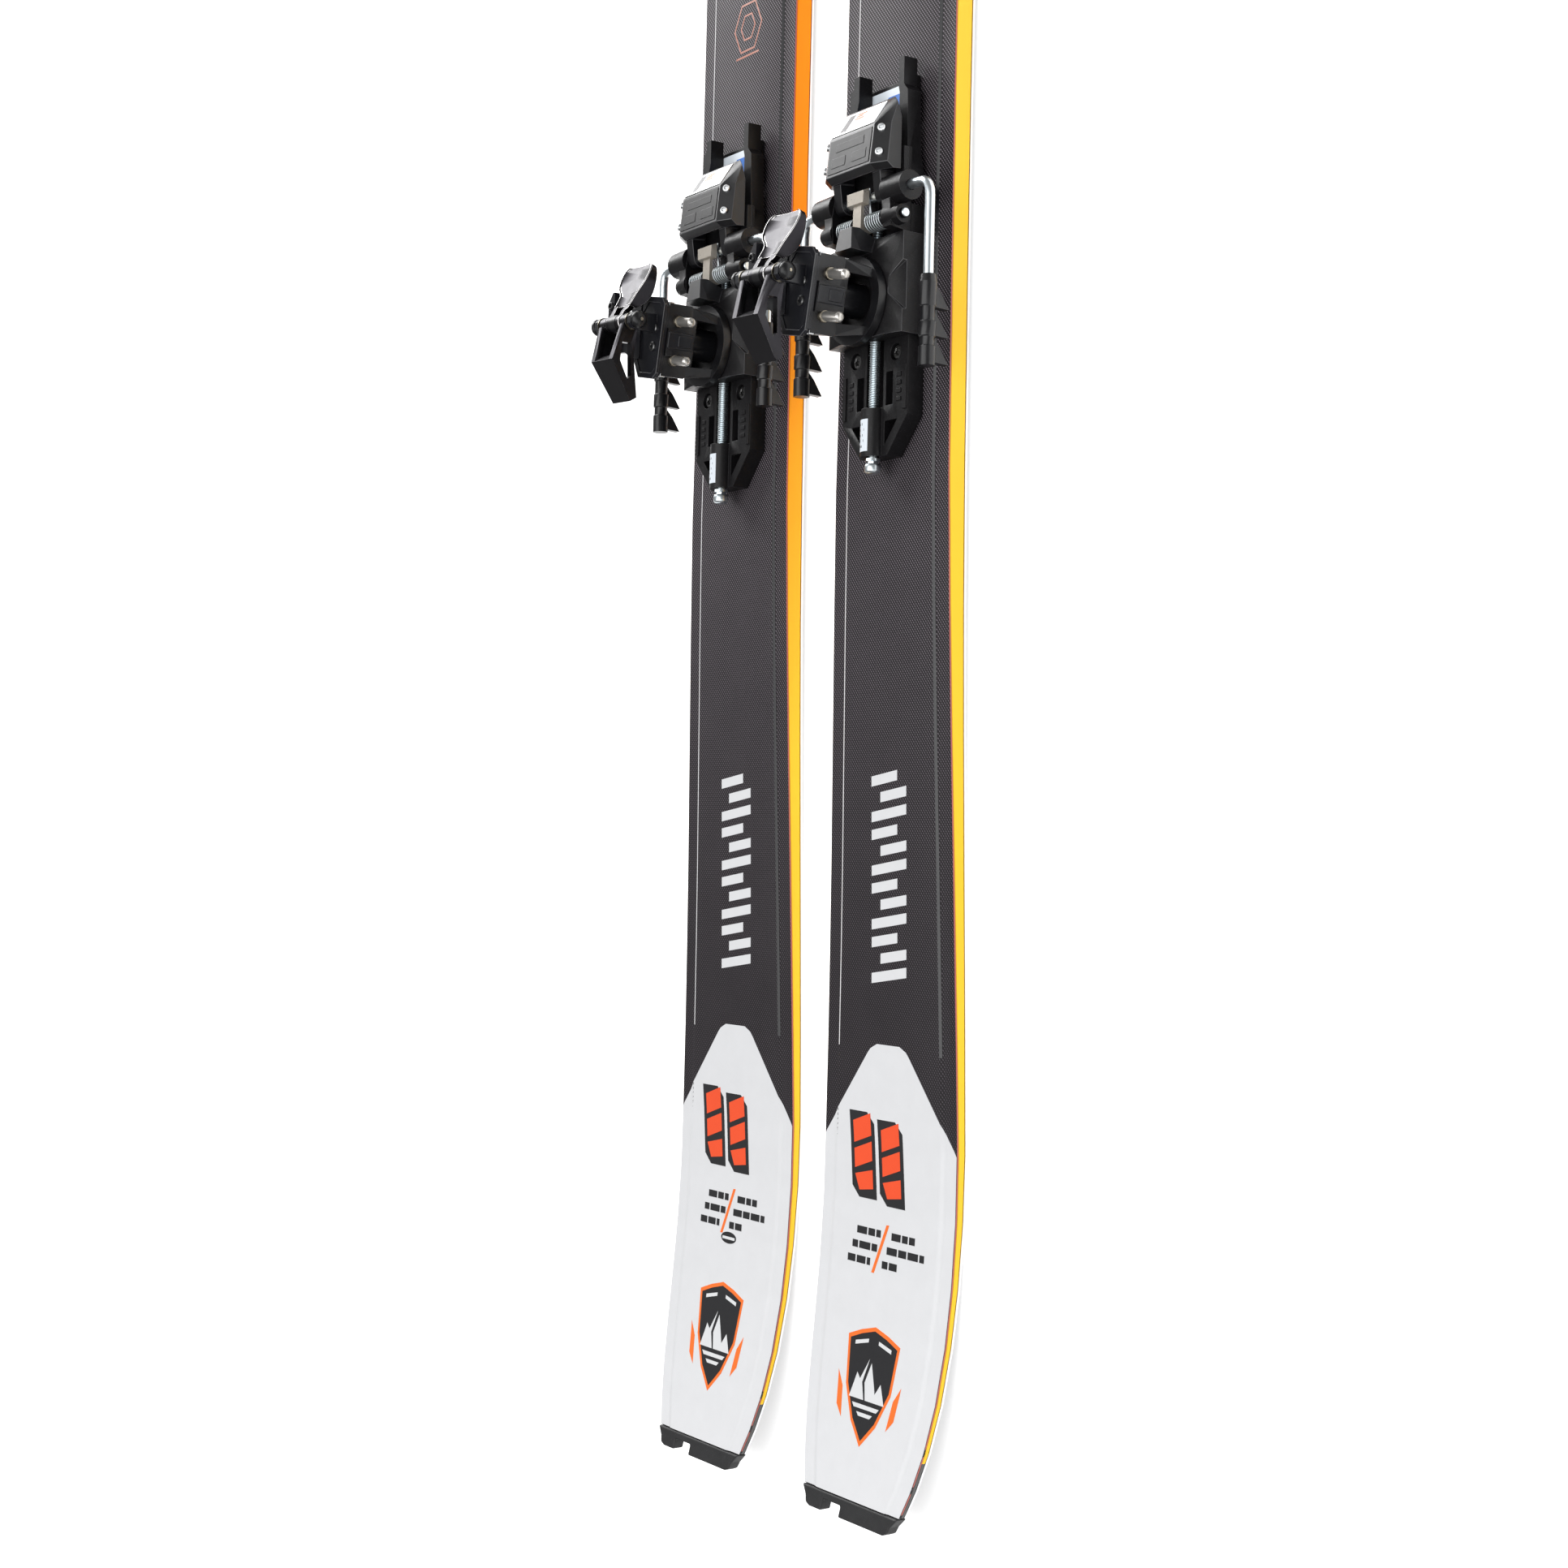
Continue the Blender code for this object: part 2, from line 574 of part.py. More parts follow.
def heel_turret(frame, side):
    """Ring foot, post, two gussets and the pin block, in one piece, with a pocket for the pin spring at the back."""
    foot = ring((0, 0), 17.5, RING_RADIUS, 22.8, 27.6)
    hub = rod((0, 0, 22.8), (0, 0, 42), 9.5, sides=20)
    gussets = [
        hull([(u, sv * v, z) for u, v, z in
              ((-15, 13, 23.2), (15.6, 13, 23.2), (-14, 17.6, 23.2), (14.6, 17.6, 23.2), (15.6, 13, 28), (14.6, 17.6, 28),
               (-14, 14, 43), (8.2, 14, 43), (-14, 20.6, 43), (8.2, 20.6, 43))])
        for sv in (-1, 1)
    ]
    spokes = box(-18.5, 4, -3.5, 3.5, 23.2, 26.8)
    block = hull([
        *((u, sv * 17.5, 38) for u in (-15, 8.5) for sv in (-1, 1)),
        *((u, sv * 21, z) for u in (-15.5, 9) for sv in (-1, 1) for z in (43, 58)),
    ])
    tongue = prism([(-8.5, 40), (5.5, 40), (6.5, 58), (-9.5, 58)], "x", 8, 11)
    tongue = [tongue[0], tongue[1]]
    bar = PIN_RADIUS + 0.5
    pocket = box(-20, -4.6, -PIN_SPACING / 2 - bar, PIN_SPACING / 2 + bar, PIN_Z - bar, PIN_Z + bar)
    bores = [
        rod((-8, sv * PIN_SPACING / 2, PIN_Z), (14, sv * PIN_SPACING / 2, PIN_Z), PIN_RADIUS + GAP, sides=14)
        for sv in (-1, 1)
    ]
    solids = [foot, hub, *gussets, spokes, block, tongue]
    node(frame, f"{side}_heel_turret", "black_plastic", solids, [pocket, *bores])


def release_pins(frame, side):
    """Two pins that are the ends of one U-shaped spring."""
    half = PIN_SPACING / 2
    corners = [(24, -half, PIN_Z), (-8.6, -half, PIN_Z), (-8.6, half, PIN_Z), (24, half, PIN_Z)]
    wire = tube(rounded_path(corners, 3.4, steps=3), PIN_RADIUS, sides=14)
    tips = [turned([(PIN_RADIUS, 0), (PIN_RADIUS * 0.8, 1.4), (PIN_RADIUS * 0.5, 1.9)], (23.9, sv * half, PIN_Z),
                   (1, 0, 0), sides=14) for sv in (-1, 1)]
    node(frame, f"{side}_release_pins", "steel", [wire, *tips])


def turret_cap(frame, side):
    """Crown plate on the pin block, with the beam, ears and end frame that hold the risers' axle."""
    half = [(9.6, 19), (6, 22.6), (-9, 22.6), (-15.5, 14)]
    crown = prism(half + [(u, -v) for u, v in reversed(half)], "z", 58.4, 62.0)
    u, v, z = RISER_AXLE
    frame_outline = [(u - 27, v - 13), (u - 27, v + 17), (u - 22, v + 24), (u - 5, v + 24), (u + 4, v + 15),
                     (u + 4, v - 19), (u - 4, v - 19), (u - 12, v - 14)]
    seat = prism(frame_outline, "z", 59.2, 63.2)
    window = prism([(u - 20, v - 8), (u - 20, v + 16), (u - 7, v + 16), (u - 7, v - 8)], "z", 55, 67)
    rail = prism([(u - 27, v - 11), (u - 27, v + 16), (u - 22.5, v + 22), (u - 20.4, v + 22), (u - 20.4, v - 12.6),
                  (u - 23, v - 12.6)], "z", 62, 67.5)
    ears = [
        prism([(v - 5.4, 61), (v + 5.4, 61), (v + 4.6, z + 2), (v + 2, z + 4.4), (v - 2, z + 4.4), (v - 4.6, z + 2)],
              "x", u + low, u + high)
        for low, high in ((-20.4, -16.6), (16.6, 20.4))
    ]
    bore = rod((u - 40, v, z), (u + 40, v, z), 2.9, sides=14)
    above = [turned_about_z(shape, RISER_TURN - TURRET_TURN) for shape in (seat, rail, *ears)]
    holes = [turned_about_z(shape, RISER_TURN - TURRET_TURN) for shape in (window, bore)]
    node(frame, f"{side}_turret_cap", "black_plastic", [crown, *above], holes)


def riser_axle(frame, side):
    """Cross axle with round ends."""
    start = RISER_AXLE + Vector((-26, 0, 0))
    ball = [(1.8, 0), (4.1, 0.9), (5.2, 2.7), (4.9, 4.4), (2.5, 5.3)]
    far = [(r, 52.0 - d) for r, d in reversed(ball)]
    shaft = turned(ball + far, start, (1, 0, 0), sides=14)
    node(frame, f"{side}_riser_axle", "anodised", [shaft], pivot=RISER_AXLE)


def along_riser(angle, distance, lift=0.0):
    """Point (v, w) at a distance from the risers' axle, in a direction above horizontal, moved sideways by lift."""
    a = math.radians(angle)
    return (
        RISER_AXLE.y + distance * math.cos(a) - lift * math.sin(a),
        RISER_AXLE.z + distance * math.sin(a) + lift * math.cos(a),
    )


def riser_high(frame, side):
    """The high climbing aid: a hub, a neck and a shovel-shaped plate with one turned-down side."""
    down = -21.0
    x, y, z = RISER_AXLE
    hub = rod((x - 7.5, y, z), (x + 7.5, y, z), 5.0, sides=16)

    def plate(widths, low, high):
        points = []
        for distance, left, right in widths:
            for lift in (low, high):
                v, w = along_riser(down, distance, lift)
                points += [(x + left, v, w), (x + right, v, w)]
        return hull(points)

    neck = plate([(2, -7, 7), (17, -1.2, 13.2)], 0.4, 4.0)
    shovel = plate([(13.8, -1.6, 12.9), (22.4, -9.8, 18.2), (30, -10.8, 21.0), (35.2, -7.4, 19.0)], 1.2, 4.4)
    wall = plate([(13.2, 11.4, 14.7), (28.8, 18, 21.4), (34, 16.4, 19.7)], -5.5, 3)
    window = plate([(8, -4, 4), (12.5, -4, 4)], -3, 8)
    bore = rod((x - 12, y, z), (x + 12, y, z), 2.9, sides=14)
    node(frame, f"{side}_riser_high", "anodised", [hub, neck, shovel, wall], [window, bore], pivot=RISER_AXLE)


def riser_low(frame, side):
    """The low climbing aid: two webs, one with a long slot, joined by a bent bearing face."""
    x, y, z = RISER_AXLE
    knee, toe = along_riser(156, 25), along_riser(188.5, 46)
    web = [
        (y + 4.2, z + 2.4), (y - 2, z + 5), (knee[0], knee[1]), (toe[0], toe[1] + 2), (toe[0] + 2.5, toe[1] - 2),
        (y - 20, z - 4), (y - 6, z - 4.4), (y + 2, z - 4.4),
    ]

    def web_at(rim, thick):
        """One web: it leans inwards from the axle towards the bearing face."""
        near, far = [], []
        for v, w in web:
            lean = (y - v) / 43 * 4.6
            outer = rim - math.copysign(max(lean, 0), rim)
            near.append((x + outer, v, w))
            far.append((x + outer - math.copysign(thick, rim), v, w))
        return loft([near, far] if rim < 0 else [far, near])

    webs = [web_at(-14.6, 3.8), web_at(14.6, 4.2)]
    hubs = [rod((x + low, y, z), (x + high, y, z), 4.7, sides=16) for low, high in ((-14.6, -8.4), (8.4, 14.6))]
    face_line = [knee, (toe[0], toe[1] + 2), (toe[0] + 2.6, toe[1] - 1), (knee[0] + 3.4, knee[1] - 4.2)]
    face = hull([(x + sx * half, v, w) for sx in (-1, 1) for (v, w), half in zip(face_line, (11.7, 9.8, 9.8, 11.7))])
    slot = prism([(y - 12.5, z + 4.6), (y - 12.5, z - 1.2), (y - 31, z - 3.6), (y - 33, z - 1.2), (y - 23, z + 4.8)],
                 "x", x + 4, x + 20)
    bore = rod((x - 20, y, z), (x + 20, y, z), 2.9, sides=14)
    node(frame, f"{side}_riser_low", "anodised", [webs[0], webs[1], face, *hubs], [slot, bore], pivot=RISER_AXLE)


def heel_unit(frame, side):
    heel_track(frame, side)
    adjustment_spindle(frame, side)
    heel_carriage(frame, side)
    brake_frame(frame, side)
    brake_axle(frame, side)
    brake_latch(frame, side)
    brake_wire(frame, side)
    brake_tip(frame, side, -1, "left")
    brake_tip(frame, side, 1, "right")
    brake_pedal(frame, side)
    turret_frame, riser_frame = Frame(frame.origin, TURRET_TURN), Frame(frame.origin, RISER_TURN)
    heel_turret(turret_frame, side)
    release_pins(turret_frame, side)
    turret_cap(turret_frame, side)
    riser_axle(riser_frame, side)
    riser_high(riser_frame, side)
    riser_low(riser_frame, side)


# ---------------------------------------------------------------- toe unit


def toe_base(frame, side):
    plan = [(20, -50), (26, -42), (26, 46), (18, 55)]
    plate = prism(plan + [(-x, y) for x, y in reversed(plan)], "z", GAP, 4.0)
    disc = rod((0, 0, 3.5), (0, 0, 9.0), 20, 18.5, sides=24)
    sinks = [rod((sx * 18, sy, 1.8), (sx * 18, sy, 6), 4.6, sides=14) for sx in (-1, 1) for sy in (-38, 38)]
    node(frame, f"{side}_toe_base", "black_plastic", [plate, disc], sinks)


def toe_housing(frame, side):
    """Turning body: a spine between two cheeks that hold the jaws' hinges, and a front ear for the lever."""
    spine = hull([(sx * x, y, z) for sx in (-1, 1) for x, y, z in
                  ((7, -27, 9.4), (7, 30, 9.4), (6, -26, 25), (6, 28, 25))])
    cheeks = [
        prism([(22, 9.4), (22, 17), (17, 22), (-17, 22), (-22, 17), (-22, 9.4)], "y", low, high)
        for low, high in ((-28, -19.2), (19.2, 28))
    ]
    y, z = LEVER_HINGE.y, LEVER_HINGE.z
    ear = hull([
        *((sx * 5, y + 5 * math.cos(a), z + 5 * math.sin(a)) for sx in (-1, 1) for a in
          (math.tau * k / 14 for k in range(14))),
        *((sx * 5, 26, zz) for sx in (-1, 1) for zz in (9.4, 20)),
    ])
    bores = [
        rod((sx * JAW_HINGE_X, -24.5, JAW_HINGE_Z), (sx * JAW_HINGE_X, 24.5, JAW_HINGE_Z), 2.9, sides=14)
        for sx in (-1, 1)
    ]
    bores.append(rod((-9, y, z), (9, y, z), 2.9, sides=14))
    node(frame, f"{side}_toe_housing", "black_plastic", [spine, *cheeks, ear], bores)


def toe_jaw(frame, side, sign, hand):
    """One jaw: trunnions, arm, upright and the pin that enters the boot's toe."""
    profile = [(9.5, 13.2), (28, 13.2), (44, 17), (47, 26), (46.5, 40), (39, 42), (36.5, 26), (28, 20), (9.5, 19.6)]
    profile = [(sign * x, z) for x, z in profile]
    arm = prism(profile, "y", -17, 17)
    trim = [
        prism([(sign * 24, 16), (sign * 60, 16), (sign * 60, 50), (sign * 24, 50)], "y", low, high)
        for low, high in ((-30, -11.5), (11.5, 30))
    ]
    trunnion = rod((sign * JAW_HINGE_X, -23.5, JAW_HINGE_Z), (sign * JAW_HINGE_X, 23.5, JAW_HINGE_Z), 2.6, sides=14)
    pin = turned([(3.0, 0), (3.0, 7.5), (1.6, 10.2)], (sign * 40, 0, TOE_PIN_Z), (-sign, 0, 0), sides=14)
    node(frame, f"{side}_toe_jaw_{hand}", "anodised", [arm, trunnion, pin], trim,
         pivot=(sign * JAW_HINGE_X, 0, JAW_HINGE_Z))


def toe_lever(frame, side):
    """The lever that opens the jaws: a fork on a cross pin and a flat blade with an upturned end."""
    y, z = LEVER_HINGE.y, LEVER_HINGE.z
    forks = both(hull([
        *((x, y + 4.8 * math.cos(a), z + 4.8 * math.sin(a)) for x in (5.6, 10) for a in
          (math.tau * k / 14 for k in range(14))),
        *((x, 56, zz) for x in (5.6, 10) for zz in (16, 21)),
    ]))
    blade = hull([(sx * x, yy, zz) for sx in (-1, 1) for x, yy, zz in
                  ((11, 50, 15.5), (11, 50, 20), (14, 62, 18), (14, 62, 22.5), (14, 92, 24), (14, 92, 28))])
    end = hull([(sx * x, yy, zz) for sx in (-1, 1) for x, yy, zz in
                ((14, 90, 23.6), (14, 90, 28), (9, 102, 29), (9, 102, 32.5))])
    pin = rod((-9, y, z), (9, y, z), 2.6, sides=14)
    grip = box(-7, 7, 66, 84, 10, 40)
    node(frame, f"{side}_toe_lever", "anodised", [blade, *forks, end, pin], [grip], pivot=LEVER_HINGE)


def toe_unit(frame, side):
    toe_base(frame, side)
    toe_housing(frame, side)
    toe_jaw(frame, side, -1, "left")
    toe_jaw(frame, side, 1, "right")
    toe_lever(frame, side)


def main():
    for obj in list(bpy.data.objects):
        bpy.data.objects.remove(obj)
    for side, x in (("left", -PAIR_SPACING / 2), ("right", PAIR_SPACING / 2)):
        ski(Frame((x, 0, 0)), side)
        heel_unit(Frame((x, HEEL_FROM_TAIL - LENGTH / 2, TOPSHEET)), side)
        toe_unit(Frame((x, TOE_FROM_TAIL - LENGTH / 2, TOPSHEET)), side)


main()
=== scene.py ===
"""Looks of a pair of touring skis with pin bindings: materials, springs, screws, threads and printed marks.

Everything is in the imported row's frame, in metres: +Y towards the tips, +Z up. Sizes of small things are
written in millimetres and multiplied by MM.
"""

import json
import math

import bmesh
import bpy
from mathutils import Matrix, Vector
from mathutils.bvhtree import BVHTree


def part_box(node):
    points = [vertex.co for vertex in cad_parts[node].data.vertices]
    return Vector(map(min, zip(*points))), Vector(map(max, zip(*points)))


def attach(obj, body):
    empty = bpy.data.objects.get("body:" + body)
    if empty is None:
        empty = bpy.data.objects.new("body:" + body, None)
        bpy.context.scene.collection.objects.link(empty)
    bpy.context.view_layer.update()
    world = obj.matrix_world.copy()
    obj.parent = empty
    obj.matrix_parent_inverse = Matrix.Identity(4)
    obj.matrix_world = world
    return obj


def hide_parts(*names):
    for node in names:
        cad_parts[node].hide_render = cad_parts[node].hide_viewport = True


MM = 0.001
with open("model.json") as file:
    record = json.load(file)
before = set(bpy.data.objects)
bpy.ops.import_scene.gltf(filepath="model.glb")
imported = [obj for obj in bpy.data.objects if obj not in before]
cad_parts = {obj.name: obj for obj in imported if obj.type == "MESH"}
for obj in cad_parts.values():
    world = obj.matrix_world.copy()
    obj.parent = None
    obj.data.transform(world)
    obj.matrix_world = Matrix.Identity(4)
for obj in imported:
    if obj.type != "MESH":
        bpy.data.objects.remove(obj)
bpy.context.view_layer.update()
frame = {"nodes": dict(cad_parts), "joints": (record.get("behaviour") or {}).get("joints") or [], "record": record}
record = frame["record"]
joints = {joint["name"]: joint for joint in frame["joints"]}
body_of = {node: body for body, nodes in record["behaviour"]["bodies"].items() for node in nodes}
SIDES = ("left", "right")
TURRET_TURN = math.radians(-12)
SPINDLE_HEIGHT = 11.2  # above the ski, in millimetres


# ---------------------------------------------------------------- materials


class Shader:
    """A material's node tree, with short ways to add nodes and join them."""

    def __init__(self, name, colour, roughness, metallic=0.0, **sockets):
        self.material = bpy.data.materials.new(name)
        self.material.use_nodes = True
        self.tree = self.material.node_tree
        self.main = self.tree.nodes["Principled BSDF"]
        self.set(self.main, "Base Color", (*colour, 1))
        self.set(self.main, "Roughness", roughness)
        self.set(self.main, "Metallic", metallic)
        for socket, value in sockets.items():
            self.set(self.main, socket.replace("_", " "), value)
        self.coordinates = self.tree.nodes.new("ShaderNodeTexCoord")
        self.place = self.coordinates.outputs["Object"]

    def set(self, node, socket, value):
        if isinstance(value, bpy.types.NodeSocket):
            self.tree.links.new(value, node.inputs[socket])
        else:
            node.inputs[socket].default_value = value

    def add(self, kind, inputs=(), **settings):
        node = self.tree.nodes.new(kind)
        for key, value in settings.items():
            setattr(node, key, value)
        for socket, value in dict(inputs).items():
            self.set(node, socket, value)
        return node

    def math(self, operation, a, b=0.0):
        return self.add("ShaderNodeMath", {0: a, 1: b}, operation=operation).outputs[0]

    def scaled(self, scale, turn=(0, 0, 0)):
        return self.add(
            "ShaderNodeMapping", {"Vector": self.place, "Scale": scale, "Rotation": turn}
        ).outputs[0]

    def noise(self, scale, detail=3.0, place=None):
        return self.add(
            "ShaderNodeTexNoise",
            {"Vector": place or self.place, "Scale": scale, "Detail": detail, "Roughness": 0.6},
        ).outputs["Fac"]

    def ramp(self, factor, stops):
        node = self.add("ShaderNodeValToRGB", {"Fac": factor})
        ramp = node.color_ramp
        while len(ramp.elements) < len(stops):
            ramp.elements.new(0.5)
        for element, (position, colour) in zip(ramp.elements, stops):
            element.position = position
            element.color = (*colour, 1) if isinstance(colour, tuple) else (colour, colour, colour, 1)
        return node.outputs["Color"]

    def mix(self, factor, a, b):
        node = self.tree.nodes.new("ShaderNodeMix")
        node.data_type = "RGBA"
        self.set(node, 0, factor)
        for index, value in ((6, a), (7, b)):
            self.set(node, index, (*value, 1) if isinstance(value, tuple) else value)
        return node.outputs[2]

    def bump(self, height, strength, distance):
        node = self.add("ShaderNodeBump", {"Height": height, "Strength": strength, "Distance": distance})
        self.tree.links.new(node.outputs[0], self.main.inputs["Normal"])

    def colour(self, value):
        self.set(self.main, "Base Color", value)

    def roughness(self, value):
        self.set(self.main, "Roughness", value)


def moulded(name, dark, light, roughness, bump=0.25, specular=0.3):
    """Moulded fibre-filled plastic: fine grain, slight mottling and pale specks."""
    grain, pale = 1500.0, (0.07, 0.07, 0.075)
    s = Shader(name, dark, roughness, Specular_IOR_Level=specular)
    cloud = s.noise(60, 4)
    fine = s.noise(grain, 2)
    specks = s.ramp(s.noise(grain * 1.6, 1), [(0.68, 0.0), (0.74, 1.0)])
    speck_strength = 0.55 if bump > 0.1 else 0.03
    gloss = 0.03 + 0.35 * bump
    s.colour(s.mix(s.math("MULTIPLY", specks, speck_strength), s.mix(cloud, dark, light), pale))
    s.roughness(s.ramp(s.noise(220, 5), [(0.25, roughness - gloss), (0.75, roughness + gloss)]))
    s.bump(fine, bump, 0.0003)
    return s.material


def metal(name, dark, light, roughness, streak=(40, 900, 900), bump=0.08, metallic=1.0):
    """Metal with fine drawn streaks and slightly uneven polish."""
    s = Shader(name, dark, roughness, metallic)
    streaks = s.noise(1.0, 4, s.scaled(streak))
    s.colour(s.mix(streaks, dark, light))
    s.roughness(s.ramp(s.noise(300, 4), [(0.3, roughness - 0.03), (0.75, roughness + 0.04)]))
    s.bump(streaks, bump, 0.0001)
    return s.material


def topsheet_material():
    """Charcoal topsheet with a woven look: short slanting dashes in staggered rows, dimmed towards the tail by
    painted shade.
    """
    s = Shader("topsheet_weave", (0.014, 0.012, 0.014), 0.42, Specular_IOR_Level=0.34)
    length_step, width_step, diagonal, slenderness = 2.1 * MM, 2.46 * MM, 1.414, 2.1
    cell = s.scaled((diagonal / length_step, diagonal / width_step, 0), (0, 0, math.radians(45)))
    split = s.add("ShaderNodeSeparateXYZ", {"Vector": cell})
    along, across = (
        s.math("MULTIPLY", s.math("SUBTRACT", s.math("FRACT", split.outputs[axis]), 0.5), stretch)
        for axis, stretch in (("X", 1.0), ("Y", slenderness))
    )
    squares = [s.math("MULTIPLY", part, part) for part in (along, across)]
    dash = s.ramp(s.math("SQRT", s.math("ADD", *squares)), [(0.2, 1.0), (0.46, 0.0)])
    variation = s.noise(35, 3)
    place = s.add("ShaderNodeSeparateXYZ", {"Vector": s.place})
    # Painted shade: the dashes are dimmed from y = -0.3 m back towards the tail, standing in for less light and
    # gloss there.
    painted_shade_range = {"Value": place.outputs["Y"], "From Min": -0.62, "From Max": -0.3, "To Min": 0.3, "To Max": 1.0}
    painted_shade_fade = s.add("ShaderNodeMapRange", painted_shade_range).outputs[0]
    ground = s.mix(variation, (0.0060, 0.0044, 0.0060), (0.0095, 0.0072, 0.0092))
    thread = s.mix(variation, (0.19, 0.16, 0.185), (0.29, 0.25, 0.285))
    s.colour(s.mix(s.math("MULTIPLY", dash, painted_shade_fade), ground, thread))
    s.roughness(s.ramp(dash, [(0.0, 0.62), (0.8, 0.33)]))
    s.bump(dash, 0.3, 0.0002)
    return s.material


def sidewall_material(name, tail_colour, tip_colour, change_from, change_to):
    """Dyed sidewall: one colour turns into another along the ski, and the end of the tail is dark grey."""
    s = Shader(name, tail_colour, 0.4, Specular_IOR_Level=0.12)
    y = s.add("ShaderNodeSeparateXYZ", {"Vector": s.place}).outputs["Y"]
    change = {"Value": y, "From Min": change_from, "From Max": change_to}
    along = s.add("ShaderNodeMapRange", change).outputs[0]
    mottled = s.noise(25, 3)
    dyed = s.mix(along, tail_colour, tip_colour)
    darker = s.mix(s.math("MULTIPLY", mottled, 0.16), dyed, (0.75, 0.3, 0.01))
    grey_behind = -0.855
    s.colour(s.mix(s.math("LESS_THAN", y, grey_behind), darker, (0.115, 0.112, 0.11)))
    s.roughness(s.ramp(s.noise(400, 3, s.scaled((4, 0.2, 4))), [(0.3, 0.3), (0.8, 0.48)]))
    s.bump(s.noise(1.0, 3, s.scaled((60, 20, 1800))), 0.1, 0.0001)
    return s.material


def printed(name, colour, roughness=0.38):
    """A printed or self-adhesive mark: nearly even colour with a slight orange-peel gloss."""
    s = Shader(name, colour, roughness, Specular_IOR_Level=0.5, Coat_Weight=0.3, Coat_Roughness=0.25)
    shade = tuple(c * 0.93 for c in colour)
    s.colour(s.mix(s.noise(90, 3), colour, shade))
    s.roughness(s.ramp(s.noise(700, 2), [(0.2, roughness - 0.05), (0.8, roughness + 0.07)]))
    s.bump(s.noise(900, 2), 0.05, 0.0001)
    return s.material


def core_material():
    """Wood strips glued side by side, with grain along the ski."""
    s = Shader("core_laminate", (0.55, 0.38, 0.2), 0.7)
    strips = s.add(
        "ShaderNodeTexWave", {"Vector": s.place, "Scale": 34.0, "Distortion": 0.6, "Detail": 3.0},
        bands_direction="X",
    ).outputs["Fac"]
    grain = s.noise(1.0, 5, s.scaled((700, 12, 700)))
    s.colour(s.mix(grain, s.mix(strips, (0.62, 0.44, 0.25), (0.45, 0.29, 0.15)), (0.36, 0.22, 0.1)))
    s.bump(grain, 0.2, 0.0003)
    return s.material


def base_material():
    """Sintered running base with fine structure along the ski."""
    s = Shader("running_base_sintered", (0.014, 0.014, 0.016), 0.4)
    grooves = s.noise(1.0, 3, s.scaled((2200, 18, 2200)))
    s.colour(s.mix(grooves, (0.012, 0.012, 0.014), (0.032, 0.032, 0.036)))
    s.roughness(s.ramp(grooves, [(0.3, 0.32), (0.8, 0.5)]))
    s.bump(grooves, 0.3, 0.0002)
    return s.material


BLACK = moulded(
    "moulded_black", (0.0045, 0.0042, 0.0048), (0.0095, 0.009, 0.0100), 0.38, bump=0.18, specular=0.26
)
SATIN, EDGE_HIGHLIGHT, DEEP, BLUE_BLACK, PANEL, NOSE = (
    moulded(name, dark, light, roughness, bump=0.004, specular=specular)
    for name, dark, light, roughness, specular in (
        ("cast_satin_black", (0.0045, 0.0045, 0.0055), (0.0085, 0.0085, 0.010), 0.32, 0.5),
        # A lighter black laid on the bevels of black parts: painted highlight along their edges.
        ("black_edge_painted_highlight", (0.040, 0.040, 0.044), (0.065, 0.065, 0.070), 0.31, 0.8),
        ("moulded_gloss_black", (0.004, 0.004, 0.005), (0.008, 0.008, 0.009), 0.32, 0.4),
        ("moulded_blue_black", (0.0055, 0.006, 0.0085), (0.0095, 0.010, 0.0135), 0.32, 0.5),
        ("pedal_panel", (0.006, 0.006, 0.007), (0.011, 0.011, 0.012), 0.32, 0.28),
        ("nose_satin", (0.012, 0.012, 0.0135), (0.022, 0.022, 0.024), 0.32, 0.45),
    )
)
GREY = moulded("moulded_grey", (0.018, 0.018, 0.019), (0.030, 0.030, 0.031), 0.5)
EDGE_STEEL = metal("ski_edge_steel", (0.6, 0.61, 0.63), (0.85, 0.86, 0.88), 0.34, (900, 20, 900))
